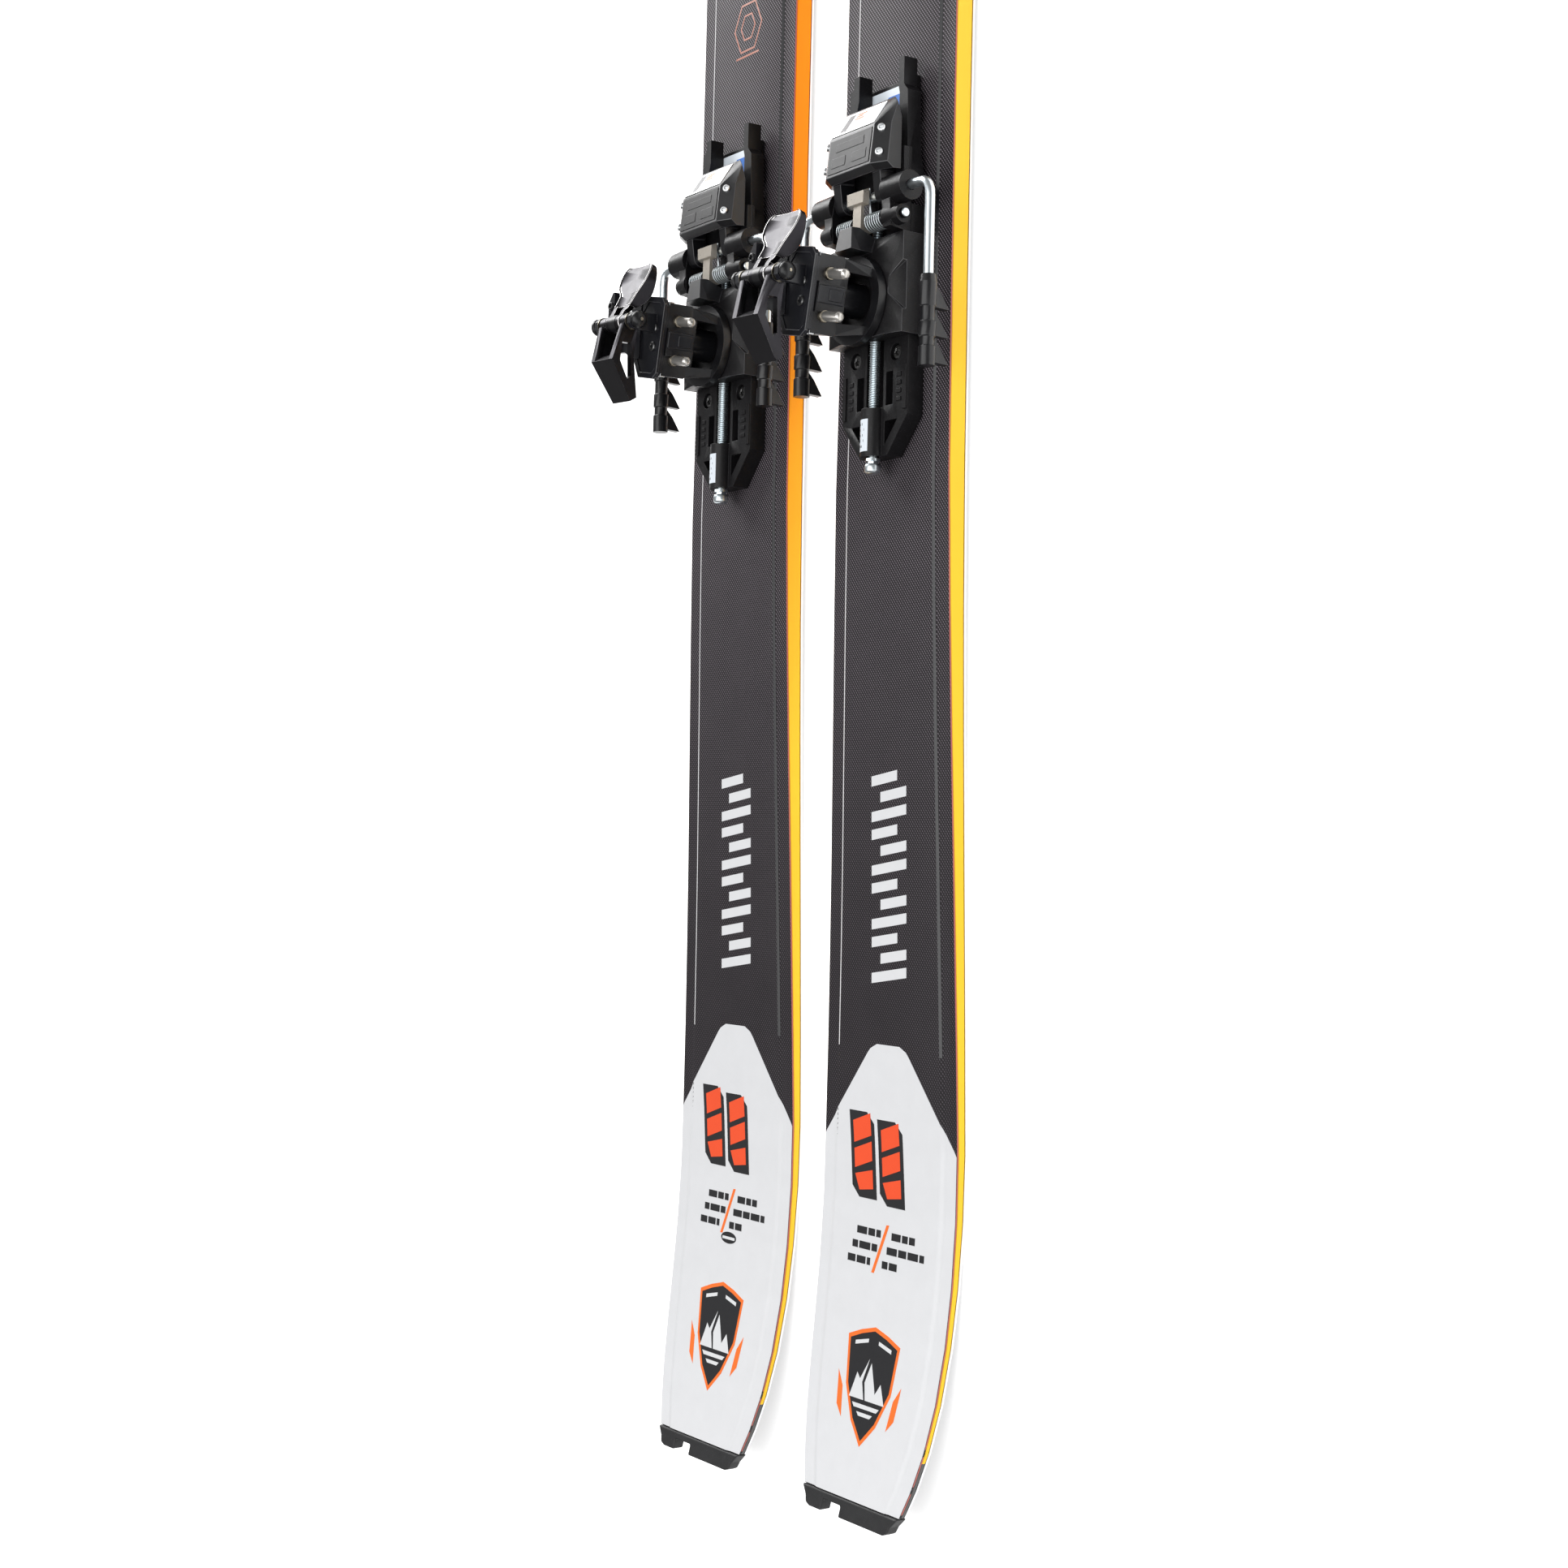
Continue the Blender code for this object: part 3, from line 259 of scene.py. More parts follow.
SLOPE_PAINTED_REFLECTION, ZINC, STEEL, BRASS, NICKEL, SPRING, ANODISED, ANODISED_PAINTED_LIGHT, WORN_EDGE_AND_HIGHLIGHT, BOLT, BRIGHT_BOLT = (
    metal(*values)
    for values in (
        # Pale metal for the pedal's front slope: painted reflection of a bright light on the glossy slope.
        ("pedal_slope_painted_reflection", (0.50, 0.50, 0.51), (0.66, 0.66, 0.67), 0.32, (60, 60, 60), 0.01),
        ("zinc_plate", (0.58, 0.64, 0.68), (0.80, 0.86, 0.88), 0.31, (300, 40, 300), 0.01),
        ("pin_steel", (0.52, 0.50, 0.47), (0.64, 0.62, 0.58), 0.31, (60, 200, 200), 0.01, 0.85),
        ("collar_brass", (0.30, 0.27, 0.21), (0.42, 0.38, 0.31), 0.32, (60, 60, 60), 0.01),
        ("latch_nickel", (0.46, 0.42, 0.36), (0.62, 0.57, 0.50), 0.3, (300, 300, 60), 0.02, 0.6),
        ("spring_zinc", (0.50, 0.54, 0.56), (0.62, 0.66, 0.68), 0.31, (60, 60, 60), 0.01, 0.85),
        ("anodised_charcoal", (0.036, 0.035, 0.039), (0.046, 0.044, 0.049), 0.32, (70, 70, 70), 0.004),
        # A second tone of the anodised metal for the high climbing aid's paddle, set for how the paddle is lit:
        # painted light.
        ("anodised_paddle_painted_light", (0.026, 0.025, 0.028), (0.036, 0.034, 0.038), 0.32, (70, 70, 70), 0.004),
        # Pale bevels on anodised parts: the edges' real wear to bare metal, made brighter as painted highlight.
        ("anodised_worn_edge_and_highlight", (0.50, 0.49, 0.49), (0.85, 0.83, 0.82), 0.31, (250, 250, 250), 0.01),
        ("bolt_black_zinc", (0.10, 0.10, 0.10), (0.24, 0.24, 0.24), 0.32, (60, 60, 60), 0.01),
        ("bolt_bright", (0.62, 0.64, 0.65), (0.85, 0.86, 0.87), 0.31, (60, 60, 60), 0.01),
    )
)
TOPSHEET = topsheet_material()
YELLOW = (0.98, 0.60, 0.035)
SIDEWALL = {
    "left": sidewall_material("sidewall_yellow_to_orange", YELLOW, (1.0, 0.27, 0.002), -0.48, -0.2),
    "right": sidewall_material("sidewall_yellow", YELLOW, (1.0, 0.63, 0.07), -0.42, 0.3),
}
WHITE = printed("print_white", (0.70, 0.705, 0.72))
BONE = printed("print_bone", (0.70, 0.71, 0.72))
RED = printed("print_red_orange", (0.86, 0.082, 0.018))
INK = printed("print_black", (0.012, 0.012, 0.014))
ORANGE = printed("print_orange", (0.9, 0.17, 0.02))
DULL_ORANGE = printed("print_dull_orange", (0.32, 0.07, 0.02))
SEAM = printed("seam_red", (0.42, 0.09, 0.07))
BLUE = printed("label_blue", (0.01, 0.16, 0.62))
LABEL = printed("label_white", (0.74, 0.80, 0.86))
# Painted highlight and painted shade for the shoulders of the topsheet's raised middle panel.
HIGHLIGHT_LINE_PAINTED = printed("line_painted_highlight", (0.88, 0.87, 0.88))
SHADE_LINE_PAINTED = printed("line_painted_shade", (0.008, 0.008, 0.01), 0.3)
CORE = core_material()
BASE = base_material()


# ---------------------------------------------------------------- meshes


def turns(count, phase=0.0):
    """Angles in equal steps round a full turn."""
    return [math.tau * k / count + phase for k in range(count)]


def rectangle(low_a, low_b, high_a, high_b):
    return [(low_a, low_b), (high_a, low_b), (high_a, high_b), (low_a, high_b)]


def oval(centre, radii, corners):
    return [(centre[0] + radii[0] * math.cos(a), centre[1] + radii[1] * math.sin(a)) for a in turns(corners)]


def piece(name, mesh, body, materials, replaced=(), smooth_angle=32.0):
    """A mesh as one named piece of the object, riding on a CAD body."""
    obj = bpy.data.objects.new(name, mesh)
    bpy.context.scene.collection.objects.link(obj)
    for material in materials:
        mesh.materials.append(material)
    mesh.shade_smooth()
    mesh.set_sharp_from_angle(angle=math.radians(smooth_angle))
    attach(obj, body)
    if replaced:
        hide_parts(*replaced)
    return obj


def bevelled(obj, width, segments=2, edge_material=None, angle=32.0):
    """Softens the edges by a width in millimetres, in another of the piece's materials if one is given."""
    step = obj.modifiers.new("edges", "BEVEL")
    step.width = width * MM
    step.segments = segments
    step.limit_method = "ANGLE"
    step.angle_limit = math.radians(angle)
    step.use_clamp_overlap = True
    step.miter_outer = "MITER_ARC"
    step.harden_normals = True
    if edge_material is not None:
        step.material = edge_material
    return obj


def merged_mesh(node, join=0.2):
    """The node's own shape, welded, with faces joined where they meet at less than join degrees."""
    made = bmesh.new()
    made.from_mesh(frame["nodes"][node].data)
    bmesh.ops.remove_doubles(made, verts=made.verts, dist=2e-6)
    bmesh.ops.dissolve_limit(made, angle_limit=math.radians(join), verts=made.verts, edges=made.edges)
    mesh = bpy.data.meshes.new(node + "_look")
    made.to_mesh(mesh)
    made.free()
    return mesh


def dressed(node, materials, width=0.5, segments=2, edge_material=None, smooth_angle=32.0,
            join=0.2, second=None):
    """A piece with the CAD node's shape, softened edges and a finished material.

    Faces whose centre passes the test second take the second material.
    """
    mesh = merged_mesh(node, join)
    obj = piece(node + "_shell", mesh, body_of[node], materials, (node,), smooth_angle)
    if second is not None:
        for face in mesh.polygons:
            face.material_index = int(second(face.center))
    return bevelled(obj, width, segments, edge_material, smooth_angle)


class Builder:
    """Collects simple solids into one mesh. Points are in millimetres in a local frame."""

    def __init__(self, matrix):
        self.bm = bmesh.new()
        self.matrix = matrix

    def loft(self, sections, closed=False):
        rows = [[self.bm.verts.new(self.matrix @ Vector(p)) for p in section] for section in sections]
        pairs = list(zip(rows, rows[1:])) + ([(rows[-1], rows[0])] if closed else [])
        count = len(rows[0])
        for low, high in pairs:
            for i in range(count):
                j = (i + 1) % count
                self.bm.faces.new((low[i], low[j], high[j], high[i]))
        if not closed:
            self.bm.faces.new(rows[0][::-1])
            self.bm.faces.new(rows[-1])

    def lathe(self, start, direction, profile, sides, phase=0.0):
        """A round body: profile is (radius, distance along the axis)."""
        start, turn = Vector(start), Vector(direction).to_track_quat("Z", "Y")
        self.loft([
            [start + turn @ Vector((r * math.cos(a), r * math.sin(a), d)) for a in turns(sides, phase)]
            for r, d in profile
        ])

    def prism(self, outline, low, high, place=lambda a, b, c: Vector((a, b, c))):
        """An outline pushed from low to high. The function place says where its points stand."""
        self.loft([[place(a, b, c) for a, b in outline] for c in (low, high)])

    def tube(self, path, radius, sides=8):
        path = [Vector(p) for p in path]
        sections, up = [], None
        for i, centre in enumerate(path):
            ahead = (path[min(i + 1, len(path) - 1)] - path[max(i - 1, 0)]).normalized()
            if up is None:
                up = ahead.orthogonal().normalized()
            up = (up - ahead * up.dot(ahead)).normalized()
            side = ahead.cross(up)
            sections.append([centre + (up * math.cos(a) + side * math.sin(a)) * radius for a in turns(sides)])
        self.loft(sections)

    def screw(self, centre, direction, radius, depth=1.2):
        """A pan head with a six-lobed recess."""
        centre, turn = Vector(centre), Vector(direction).to_track_quat("Z", "Y")
        lobes, steps, recess = 6, 36, radius * 0.5

        def loop(r, z, star=0.0):
            return [centre + turn @ Vector((
                (r * (1 + star * math.cos(lobes * a))) * math.cos(a),
                (r * (1 + star * math.cos(lobes * a))) * math.sin(a), z)) for a in turns(steps)]

        self.loft([
            loop(radius, -depth), loop(radius, depth * 0.25), loop(radius * 0.86, depth * 0.75),
            loop(recess * 1.12, depth * 0.8, 0.14), loop(recess, depth * 0.6, 0.16),
            loop(recess * 0.94, -depth * 0.6, 0.16),
        ])

    def piece(self, name, body, slot, materials, replaced=(), smooth_angle=32.0):
        """Ends the mesh and makes it a piece."""
        return piece(name, mesh_from(self.bm, name), body, materials, replaced, smooth_angle)


def mesh_from(made, name):
    bmesh.ops.recalc_face_normals(made, faces=made.faces)
    mesh = bpy.data.meshes.new(name)
    made.to_mesh(mesh)
    made.free()
    return mesh


def local(origin, turn=0.0):
    """Matrix from a unit's millimetres to the row's metres."""
    return Matrix.Translation(origin) @ Matrix.Rotation(turn, 4, "Z") @ Matrix.Scale(MM, 4)


# ---------------------------------------------------------------- places, read from the frame


class Places:
    """Where one ski's units stand: matrices, the middle line's x, the ski's top and the tail's end."""

    def __init__(self, side):
        self.side, self.ski = side, f"{side}_ski"
        low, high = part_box(f"{side}_topsheet")
        self.x = (low.x + high.x) / 2
        turret = Vector(joints[f"{side}_turret_turn"]["pos_m"])
        self.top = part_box(f"{side}_heel_track")[0].z - 0.3 * MM
        self.heel = local(Vector((self.x, turret.y, self.top)))
        self.turret = local(Vector((self.x, turret.y, self.top)), TURRET_TURN)
        toe = Vector(joints[f"{side}_toe_turn"]["pos_m"])
        self.toe = local(Vector((self.x, toe.y, self.top)))
        riser = joints[f"{side}_riser_high_hinge"]
        axis = Vector(riser["axis"])
        self.riser = local(Vector(riser["pos_m"]), math.atan2(axis.y, axis.x))
        self.tail = low.y - 10.3 * MM


# ---------------------------------------------------------------- ski


class Surface:
    """The top of one ski: height and half-width at any place, read from the topsheet's mesh."""

    def __init__(self, places):
        self.places = places
        made = bmesh.new()
        made.from_mesh(frame["nodes"][f"{places.side}_topsheet"].data)
        self.tree = BVHTree.FromBMesh(made)
        rows = {}
        for vert in made.verts:
            key = round(vert.co.y, 4)
            rows[key] = max(rows.get(key, 0), abs(vert.co.x - places.x))
        made.free()
        self.rows = sorted(rows.items())

    def half_width(self, y):
        for (y0, w0), (y1, w1) in zip(self.rows, self.rows[1:]):
            if y <= y1:
                return w0 + (w1 - w0) * max(0.0, min(1.0, (y - y0) / (y1 - y0)))
        return self.rows[-1][1]

    def point(self, x, y, lift):
        """A point above (x, y), where x is from the ski's middle and both are in metres."""
        limit = self.half_width(y) - 0.15 * MM
        x = max(-limit, min(limit, x))
        hit = self.tree.ray_cast(Vector((self.places.x + x, y, 1)), Vector((0, 0, -1)))[0]
        if hit is None:
            hit = self.tree.find_nearest(Vector((self.places.x + x, y, self.places.top)))[0]
        return Vector((self.places.x + x, y, hit.z + lift))


def laid_on(surface, made, lift, name, material):
    """Makes a thin sheet on the ski a piece of it, with a rim that reaches down from its edges."""
    rim = bmesh.ops.extrude_edge_only(made, edges=[e for e in made.edges if e.is_boundary])
    for vert in (g for g in rim["geom"] if isinstance(g, bmesh.types.BMVert)):
        vert.co.z -= lift * 0.9
    places = surface.places
    piece(f"{places.side}_{name}", mesh_from(made, name), places.ski, [material])


def print_strip(surface, name, rows, lift, columns, material):
    """A sheet along the ski: rows are (y, low x, high x) in metres, and the lift is in millimetres."""
    made = bmesh.new()
    grid = []
    for y, low, high in rows:
        xs = [low + (high - low) * k / columns for k in range(columns + 1)]
        grid.append([made.verts.new(surface.point(x, y, lift * MM)) for x in xs])
    for before, after in zip(grid, grid[1:]):
        for k in range(columns):
            made.faces.new((before[k], before[k + 1], after[k + 1], after[k]))
    laid_on(surface, made, lift * MM, name, material)


def print_shapes(surface, name, polygons, lift, material):
    """Flat filled polygons on the ski, cut into cells so that they follow its surface.

    Corners are (sideways from the ski's middle, forwards from the tail's end) in millimetres, like the lift.
    """
    cell, tail = 3.0, surface.places.tail
    whole = bmesh.new()
    for corners in polygons:
        made = bmesh.new()
        made.faces.new([made.verts.new((x, t, 0)) for x, t in corners])
        for axis, index in (((1, 0, 0), 0), ((0, 1, 0), 1)):
            low, high = min(c[index] for c in corners), max(c[index] for c in corners)
            for k in range(1, int((high - low) / cell) + 1):
                at = [0, 0, 0]
                at[index] = low + cell * k
                geometry = made.verts[:] + made.edges[:] + made.faces[:]
                bmesh.ops.bisect_plane(made, geom=geometry, plane_co=at, plane_no=axis)
        copies = {}
        for v in made.verts:
            copies[v] = whole.verts.new(surface.point(v.co.x * MM, tail + v.co.y * MM, lift * MM))
        for face in made.faces:
            whole.faces.new([copies[v] for v in face.verts])
        made.free()
    laid_on(surface, whole, lift * MM, name, material)


def band_inside(corners, width):
    """The outline of a polygon drawn as a band of even width inside it."""
    centre = sum((Vector(c) for c in corners), Vector((0, 0))) / len(corners)
    inner = [Vector(c) + (centre - Vector(c)).normalized() * width for c in corners]
    ahead = [*range(1, len(corners)), 0]
    return [[tuple(p) for p in (inner[i], corners[i], corners[j], inner[j])] for i, j in enumerate(ahead)]


def slanted(corners, centre, slope):
    """Corners moved sideways in step with their distance along the ski."""
    return [(x + (t - centre) * slope, t) for x, t in corners]


def mirrored(half):
    """An outline from its right half, whose first and last points are on the middle line."""
    return half + [(-x, t) for x, t in reversed(half[1:-1])]


def tail_zone(surface):
    """The white zone: as wide as the ski, then narrowing forwards to a short rounded end."""
    begin, full, apex = 10.6, 199.0, 253.0
    full_half, apex_half, rounding, steps = 59.0, 14.0, 4.0, 90
    rows = []
    for k in range(steps + 1):
        t = begin + (apex - begin) * k / steps
        y = surface.places.tail + t * MM
        half = surface.half_width(y) - 0.2 * MM
        if t > full:
            along = (t - full) / (apex - full)
            half = min(half, (full_half + (apex_half - full_half) * along) * MM)
        if t > apex - rounding:
            half -= (apex_half * 0.28) * ((t - apex + rounding) / rounding) ** 2 * MM
        rows.append((y, -half, half))
    print_strip(surface, "tail_zone", rows, 0.15, 92, WHITE)


def red_mark(surface):
    """Two leaning slabs with cut corners, and three slanted tiles on each."""
    centre, lean, cut, border, gap, rise = 190, -0.1, 6.0, 3.0, 1.6, 2.6
    slabs, tiles = [], []
    for left, right, low, high in ((-32.0, -10.0, 168, 215), (-7.0, 15.0, 166, 212)):
        slab = [(left + cut, low), (right, low), (right, high - cut), (right - cut, high), (left, high),
                (left, low + cut)]
        slabs.append(slanted(slab, centre, lean))
        left, right, low, high = left + border, right - border, low + border, high - border
        third = (high - low) / 3
        for base, top, nick in ((low, low + third - gap, 3.5), (low + third + gap, high - third - gap, 0.0),
                                (high - third + gap, high, 0.0)):
            tile = [(left + nick, base - rise + nick), (right, base + rise), (right, top + rise - nick / 2),
                    (left, top - rise)]
            tiles.append(slanted(tile, centre, lean))
    print_shapes(surface, "mark_outline", slabs, 0.24, INK)
    print_shapes(surface, "mark_fill", tiles, 0.3, RED)


def dash_rows(surface):
    """Three rows of dashes in two columns, and a slash between the columns."""
    half_height, gap, step_back = 2.0, 1.2, 3.5
    dashes = []
    for row, (t, *columns) in enumerate((
        (150.5, (9, 6, 4), (8, 5, 5)), (142.5, (5, 10, 5), (9, 7, 9, 4)), (134.5, (7, 8, 3), (5, 7)),
    )):
        for start, widths in zip((-24.0, 7.0), columns):
            x = start - step_back * row
            for width in widths:
                dashes.append(rectangle(x, t - half_height, x + width, t + half_height))
                x += width + gap
    print_shapes(surface, "dashes", dashes, 0.24, INK)
    print_shapes(surface, "slash", [[(-9, 129), (-6.6, 129), (4.4, 156), (2.0, 156)]], 0.24, ORANGE)


def badge(surface):
    """A narrow shield with mountains, slabs below and above them, and a flick on each side."""
    shield = mirrored([(0, 38), (11, 50), (20, 68), (23, 94), (12, 98), (0, 101)])
    inner = mirrored([(0, 41), (9.6, 51.5), (18.2, 69), (20.8, 92.4), (11, 96), (0, 98.8)])
    flicks = [[(sx * x, t) for x, t in ((25.5, 56), (20, 50), (22.6, 66), (28, 74))] for sx in (-1, 1)]
    peaks = [
        [(-15.5, 62), (-2.6, 62), (-5.8, 71), (-1.4, 84), (-8, 72.5), (-11, 75.5)],
        [(-1.2, 62), (15.5, 62), (10.4, 72.5), (6.4, 66.5), (0.6, 82), (-3.6, 71)],
        [(-10, 57.4), (10, 57.4), (12, 59.6), (-12, 59.6)],
        [(-5, 53.4), (5, 53.4), (7, 55.4), (-7, 55.4)],
        *([(sx * x, t) for x, t in ((16, 89.5), (4.5, 92.2), (4.5, 94.2), (16, 91.6))] for sx in (-1, 1)),
    ]
    print_shapes(surface, "badge_rim", [shield, *flicks], 0.24, ORANGE)
    print_shapes(surface, "badge", [inner], 0.3, INK)
    print_shapes(surface, "badge_peaks", peaks, 0.36, BONE)


def bar_pattern(surface):
    """A column of slanted bars in front of the tail zone."""
    first, step, height, lean = 286, 9.8, 5.6, 4.5 / 31
    left, bars = -15, []
    for k in range(12):
        t = first + step * k
        low, high = ((left, 16), (-7, 16), (left, 8))[k % 3]
        low_rise, high_rise = lean * (low - left), lean * (high - left)
        bars.append([(low, t + low_rise), (high, t + high_rise), (high, t + high_rise + height),
                     (low, t + low_rise + height)])
    print_shapes(surface, "bar_pattern", bars, 0.1, WHITE)


def shoulder_lines(surface):
    """The pale line on the left shoulder and the dark line on the right one: painted highlight and painted shade
    where the raised middle panel steps down.
    """
    begin, end, inset = surface.places.tail + 0.22, 0.6, 12.6 * MM
    stations = [y for y, _ in surface.rows if begin < y < end]
    # Painted highlight on the left shoulder, painted shade on the right one.
    for name, width, lift, material, sign in (
        ("painted_highlight_line", 1.05, 0.14, HIGHLIGHT_LINE_PAINTED, -1), ("painted_shade_line", 1.9, 0.1, SHADE_LINE_PAINTED, 1),
    ):
        rows = []
        for y in stations:
            edge = surface.half_width(y) - inset
            rows.append((y, *sorted((sign * edge, sign * (edge + width * MM)))))
        print_strip(surface, name, rows, lift, 2, material)


def seams(surface):
    """The thin red seam above each sidewall."""
    begin, length, steps = surface.places.tail + 0.0125, 1.56, 160
    proud, thickness, drop, depth = 0.12 * MM, 0.4 * MM, 0.15 * MM, 0.95 * MM
    for sign, hand in ((-1, "left"), (1, "right")):
        made = bmesh.new()
        rings = []
        for k in range(steps + 1):
            y = begin + length * k / steps
            half = surface.half_width(y)
            top = surface.point(sign * (half - thickness), y, 0.0).z
            outer = surface.places.x + sign * (half + proud)
            inner = outer - sign * thickness
            corners = ((outer, top - depth), (outer, top - drop), (inner, top - drop), (inner, top - depth))
            rings.append([made.verts.new((x, y, z)) for x, z in corners])
        for before, after in zip(rings, rings[1:]):
            for i in range(4):
                j = (i + 1) % 4
                made.faces.new((before[i], before[j], after[j], after[i]))
        made.faces.new(rings[0])
        made.faces.new(rings[-1][::-1])
        places = surface.places
        piece(f"{places.side}_seam_{hand}", mesh_from(made, "seam"), places.ski, [SEAM])


def left_marks(surface):
    """Only on the left ski: an oval sticker on the tail and an outlined hexagon in front of the heel unit."""
    print_shapes(surface, "sticker", [oval((0.5, 127), (8, 3.4), 24)], 0.26, INK)
    print_shapes(surface, "sticker_bar", [rectangle(-6, 126, 7, 127.6)], 0.32, BONE)
    bands = band_inside(oval((0, 852), (15, 17), 6), 1.3) + band_inside(oval((0, 852), (8, 9), 6), 1.2)
    print_shapes(surface, "outline_mark", [*bands, rectangle(-12, 834, 12, 835.2)], 0.08, DULL_ORANGE)


def ski_looks(places):
    side, surface = places.side, Surface(places)
    for node, slot, material in (("running_base", "base", BASE), ("steel_edge", "steel", EDGE_STEEL),
                                 ("core", "core", CORE)):
        dressed(f"{side}_{node}", [material], 0.2, 1, join=0.001)
    for hand in SIDES:
        dressed(f"{side}_sidewall_{hand}", [SIDEWALL[side]], 1.1, 3, join=0.001)
    dressed(f"{side}_topsheet", [TOPSHEET], 0.3, 2, join=0.001)
    dressed(f"{side}_tail_protector", [GREY], 1.0, 3)
    for printed_part in (tail_zone, red_mark, dash_rows, badge, bar_pattern, shoulder_lines, seams):
        printed_part(surface)
    if side == "left":
        left_marks(surface)


# ---------------------------------------------------------------- heel unit


def coil(radius, start, end, rounds, y, z, leg):
    """Points of a torsion spring about a line along x, with a straight leg at its start."""
    points = [(start, y + leg[0], z + leg[1])]
    steps = int(rounds * 18)
    for k in range(steps + 1):
        a = math.tau * rounds * k / steps
        points.append((start + (end - start) * k / steps, y + radius * math.cos(a), z + radius * math.sin(a)))
    return points


def heel_shells(places):
    """The CAD pieces of the heel unit, with softened edges."""
    side, to_heel = places.side, places.heel.inverted()
    nose_from, nose_above, axle_ends = 12, 22, 27

    def on_nose(centre):
        here = to_heel @ centre
        return here.y > nose_from and here.z > nose_above

    def on_axle_end(centre):
        return abs((to_heel @ centre).x) > axle_ends

    dressed(f"{side}_heel_track", [BLACK], 0.5)
    # Bevels that take the lighter edge material carry painted highlight.
    dressed(f"{side}_heel_carriage", [BLACK, NOSE, EDGE_HIGHLIGHT], 0.9, 3, 2, second=on_nose)
    dressed(f"{side}_brake_frame", [BLACK, EDGE_HIGHLIGHT], 0.7, 3, 1)
    dressed(f"{side}_brake_axle", [DEEP, ZINC], 0.25, second=on_axle_end)
    dressed(f"{side}_brake_latch", [NICKEL], 0.5, 3)
    dressed(f"{side}_brake_pedal", [SATIN, EDGE_HIGHLIGHT], 1.1, 3, 1)
    dressed(f"{side}_heel_turret", [SATIN, EDGE_HIGHLIGHT], 0.7, 3, 1)
    dressed(f"{side}_turret_cap", [BLUE_BLACK, EDGE_HIGHLIGHT], 0.9, 3, 1)
    dressed(f"{side}_riser_axle", [DEEP], 0.2, 2, smooth_angle=50)
    riser_plate(places)
    # The low climbing aid's bevels take the worn edge material, partly painted highlight.
    dressed(f"{side}_riser_low", [ANODISED, WORN_EDGE_AND_HIGHLIGHT], 0.8, 3, 1, smooth_angle=48)
    dressed(f"{side}_release_pins", [STEEL], 0.3, 2, smooth_angle=50)
    dressed(f"{side}_brake_wire", [ZINC], 0.1, 1, smooth_angle=50)
    for hand in SIDES:
        dressed(f"{side}_brake_tip_{hand}", [SATIN, EDGE_HIGHLIGHT], 0.35, 2, 1)


def riser_plate(places):
    """The high climbing aid: barrel, two-legged neck and a dished paddle.

    The paddle has a raised rim, and its right side is turned down. Rows and legs are
    (distance from the axle, left edge, right edge), and a row ends with the depth of its turned side.
    """
    side, down, face = places.side, math.radians(-21), 4.2

    def at(x, distance, lift):
        return Vector((x, distance * math.cos(down) - lift * math.sin(down),
                       distance * math.sin(down) + lift * math.cos(down)))

    b = Builder(places.riser)
    barrel = [(3.0, -7.5), (4.7, -7.5), (5.0, -7.1), (5.0, 7.1), (4.7, 7.5), (3.0, 7.5)]
    b.lathe((0, 0, 0), (1, 0, 0), barrel, 32)
    for leg in (((2, -7.0, -3.4), (5.2, -6.4, -2.8), (9.6, -5.1, -1.8)),
                ((2, 3.8, 7.2), (5.4, 4.6, 8.1), (7.4, 6.0, 11.2), (9.6, 7.4, 12.3))):
        b.loft([[at(x, distance, lift) for x, lift in ((low, 0.6), (low, 3.9), (high, 3.9), (high, 0.6))]
                for distance, low, high in leg])
    rows = []
    for distance, low, high, depth in (
        (8.8, -5.3, 12.2, 4.5), (11, -4.4, 13.4, 6.4), (13.6, -3.6, 14.4, 7.8), (16, -3.7, 15.4, 8.6),
        (18.2, -5.4, 16.6, 8.8), (20.6, -8.4, 18.0, 8.4), (23.4, -10.2, 19.5, 7.4), (27, -10.9, 20.8, 6.0),
        (30.6, -10.7, 21.2, 4.6), (33.2, -9.7, 20.6, 3.7), (34.8, -7.8, 19.2, 3.2), (35.4, -5.8, 17.4, 3.0),
    ):
        middle, under, foot = (low + high) / 2, face - min(depth, 2.4), face - depth
        dish = [(low, face), (low + 0.9, 4.5), (low + 2.1, 3.7), (middle, 3.2), (high - 2.1, 3.7),
                (high - 0.9, 4.5), (high, face)]
        section = [(low, under), *dish, (high + 0.3, foot), (high - 2.0, foot), (high - 2.4, under)]
        rows.append([at(x, distance, lift) for x, lift in section])
    b.loft(rows)
    # The paddle's own tone of the anodised metal is painted light.
    plate = b.piece(f"{side}_riser_high_paddle", body_of[f"{side}_riser_high"], "anodised",
                    [ANODISED_PAINTED_LIGHT, WORN_EDGE_AND_HIGHLIGHT], (f"{side}_riser_high",), 34)
    # The rim's bevels take the worn edge material, partly painted highlight.
    bevelled(plate, 0.35, 2, 1, 34)


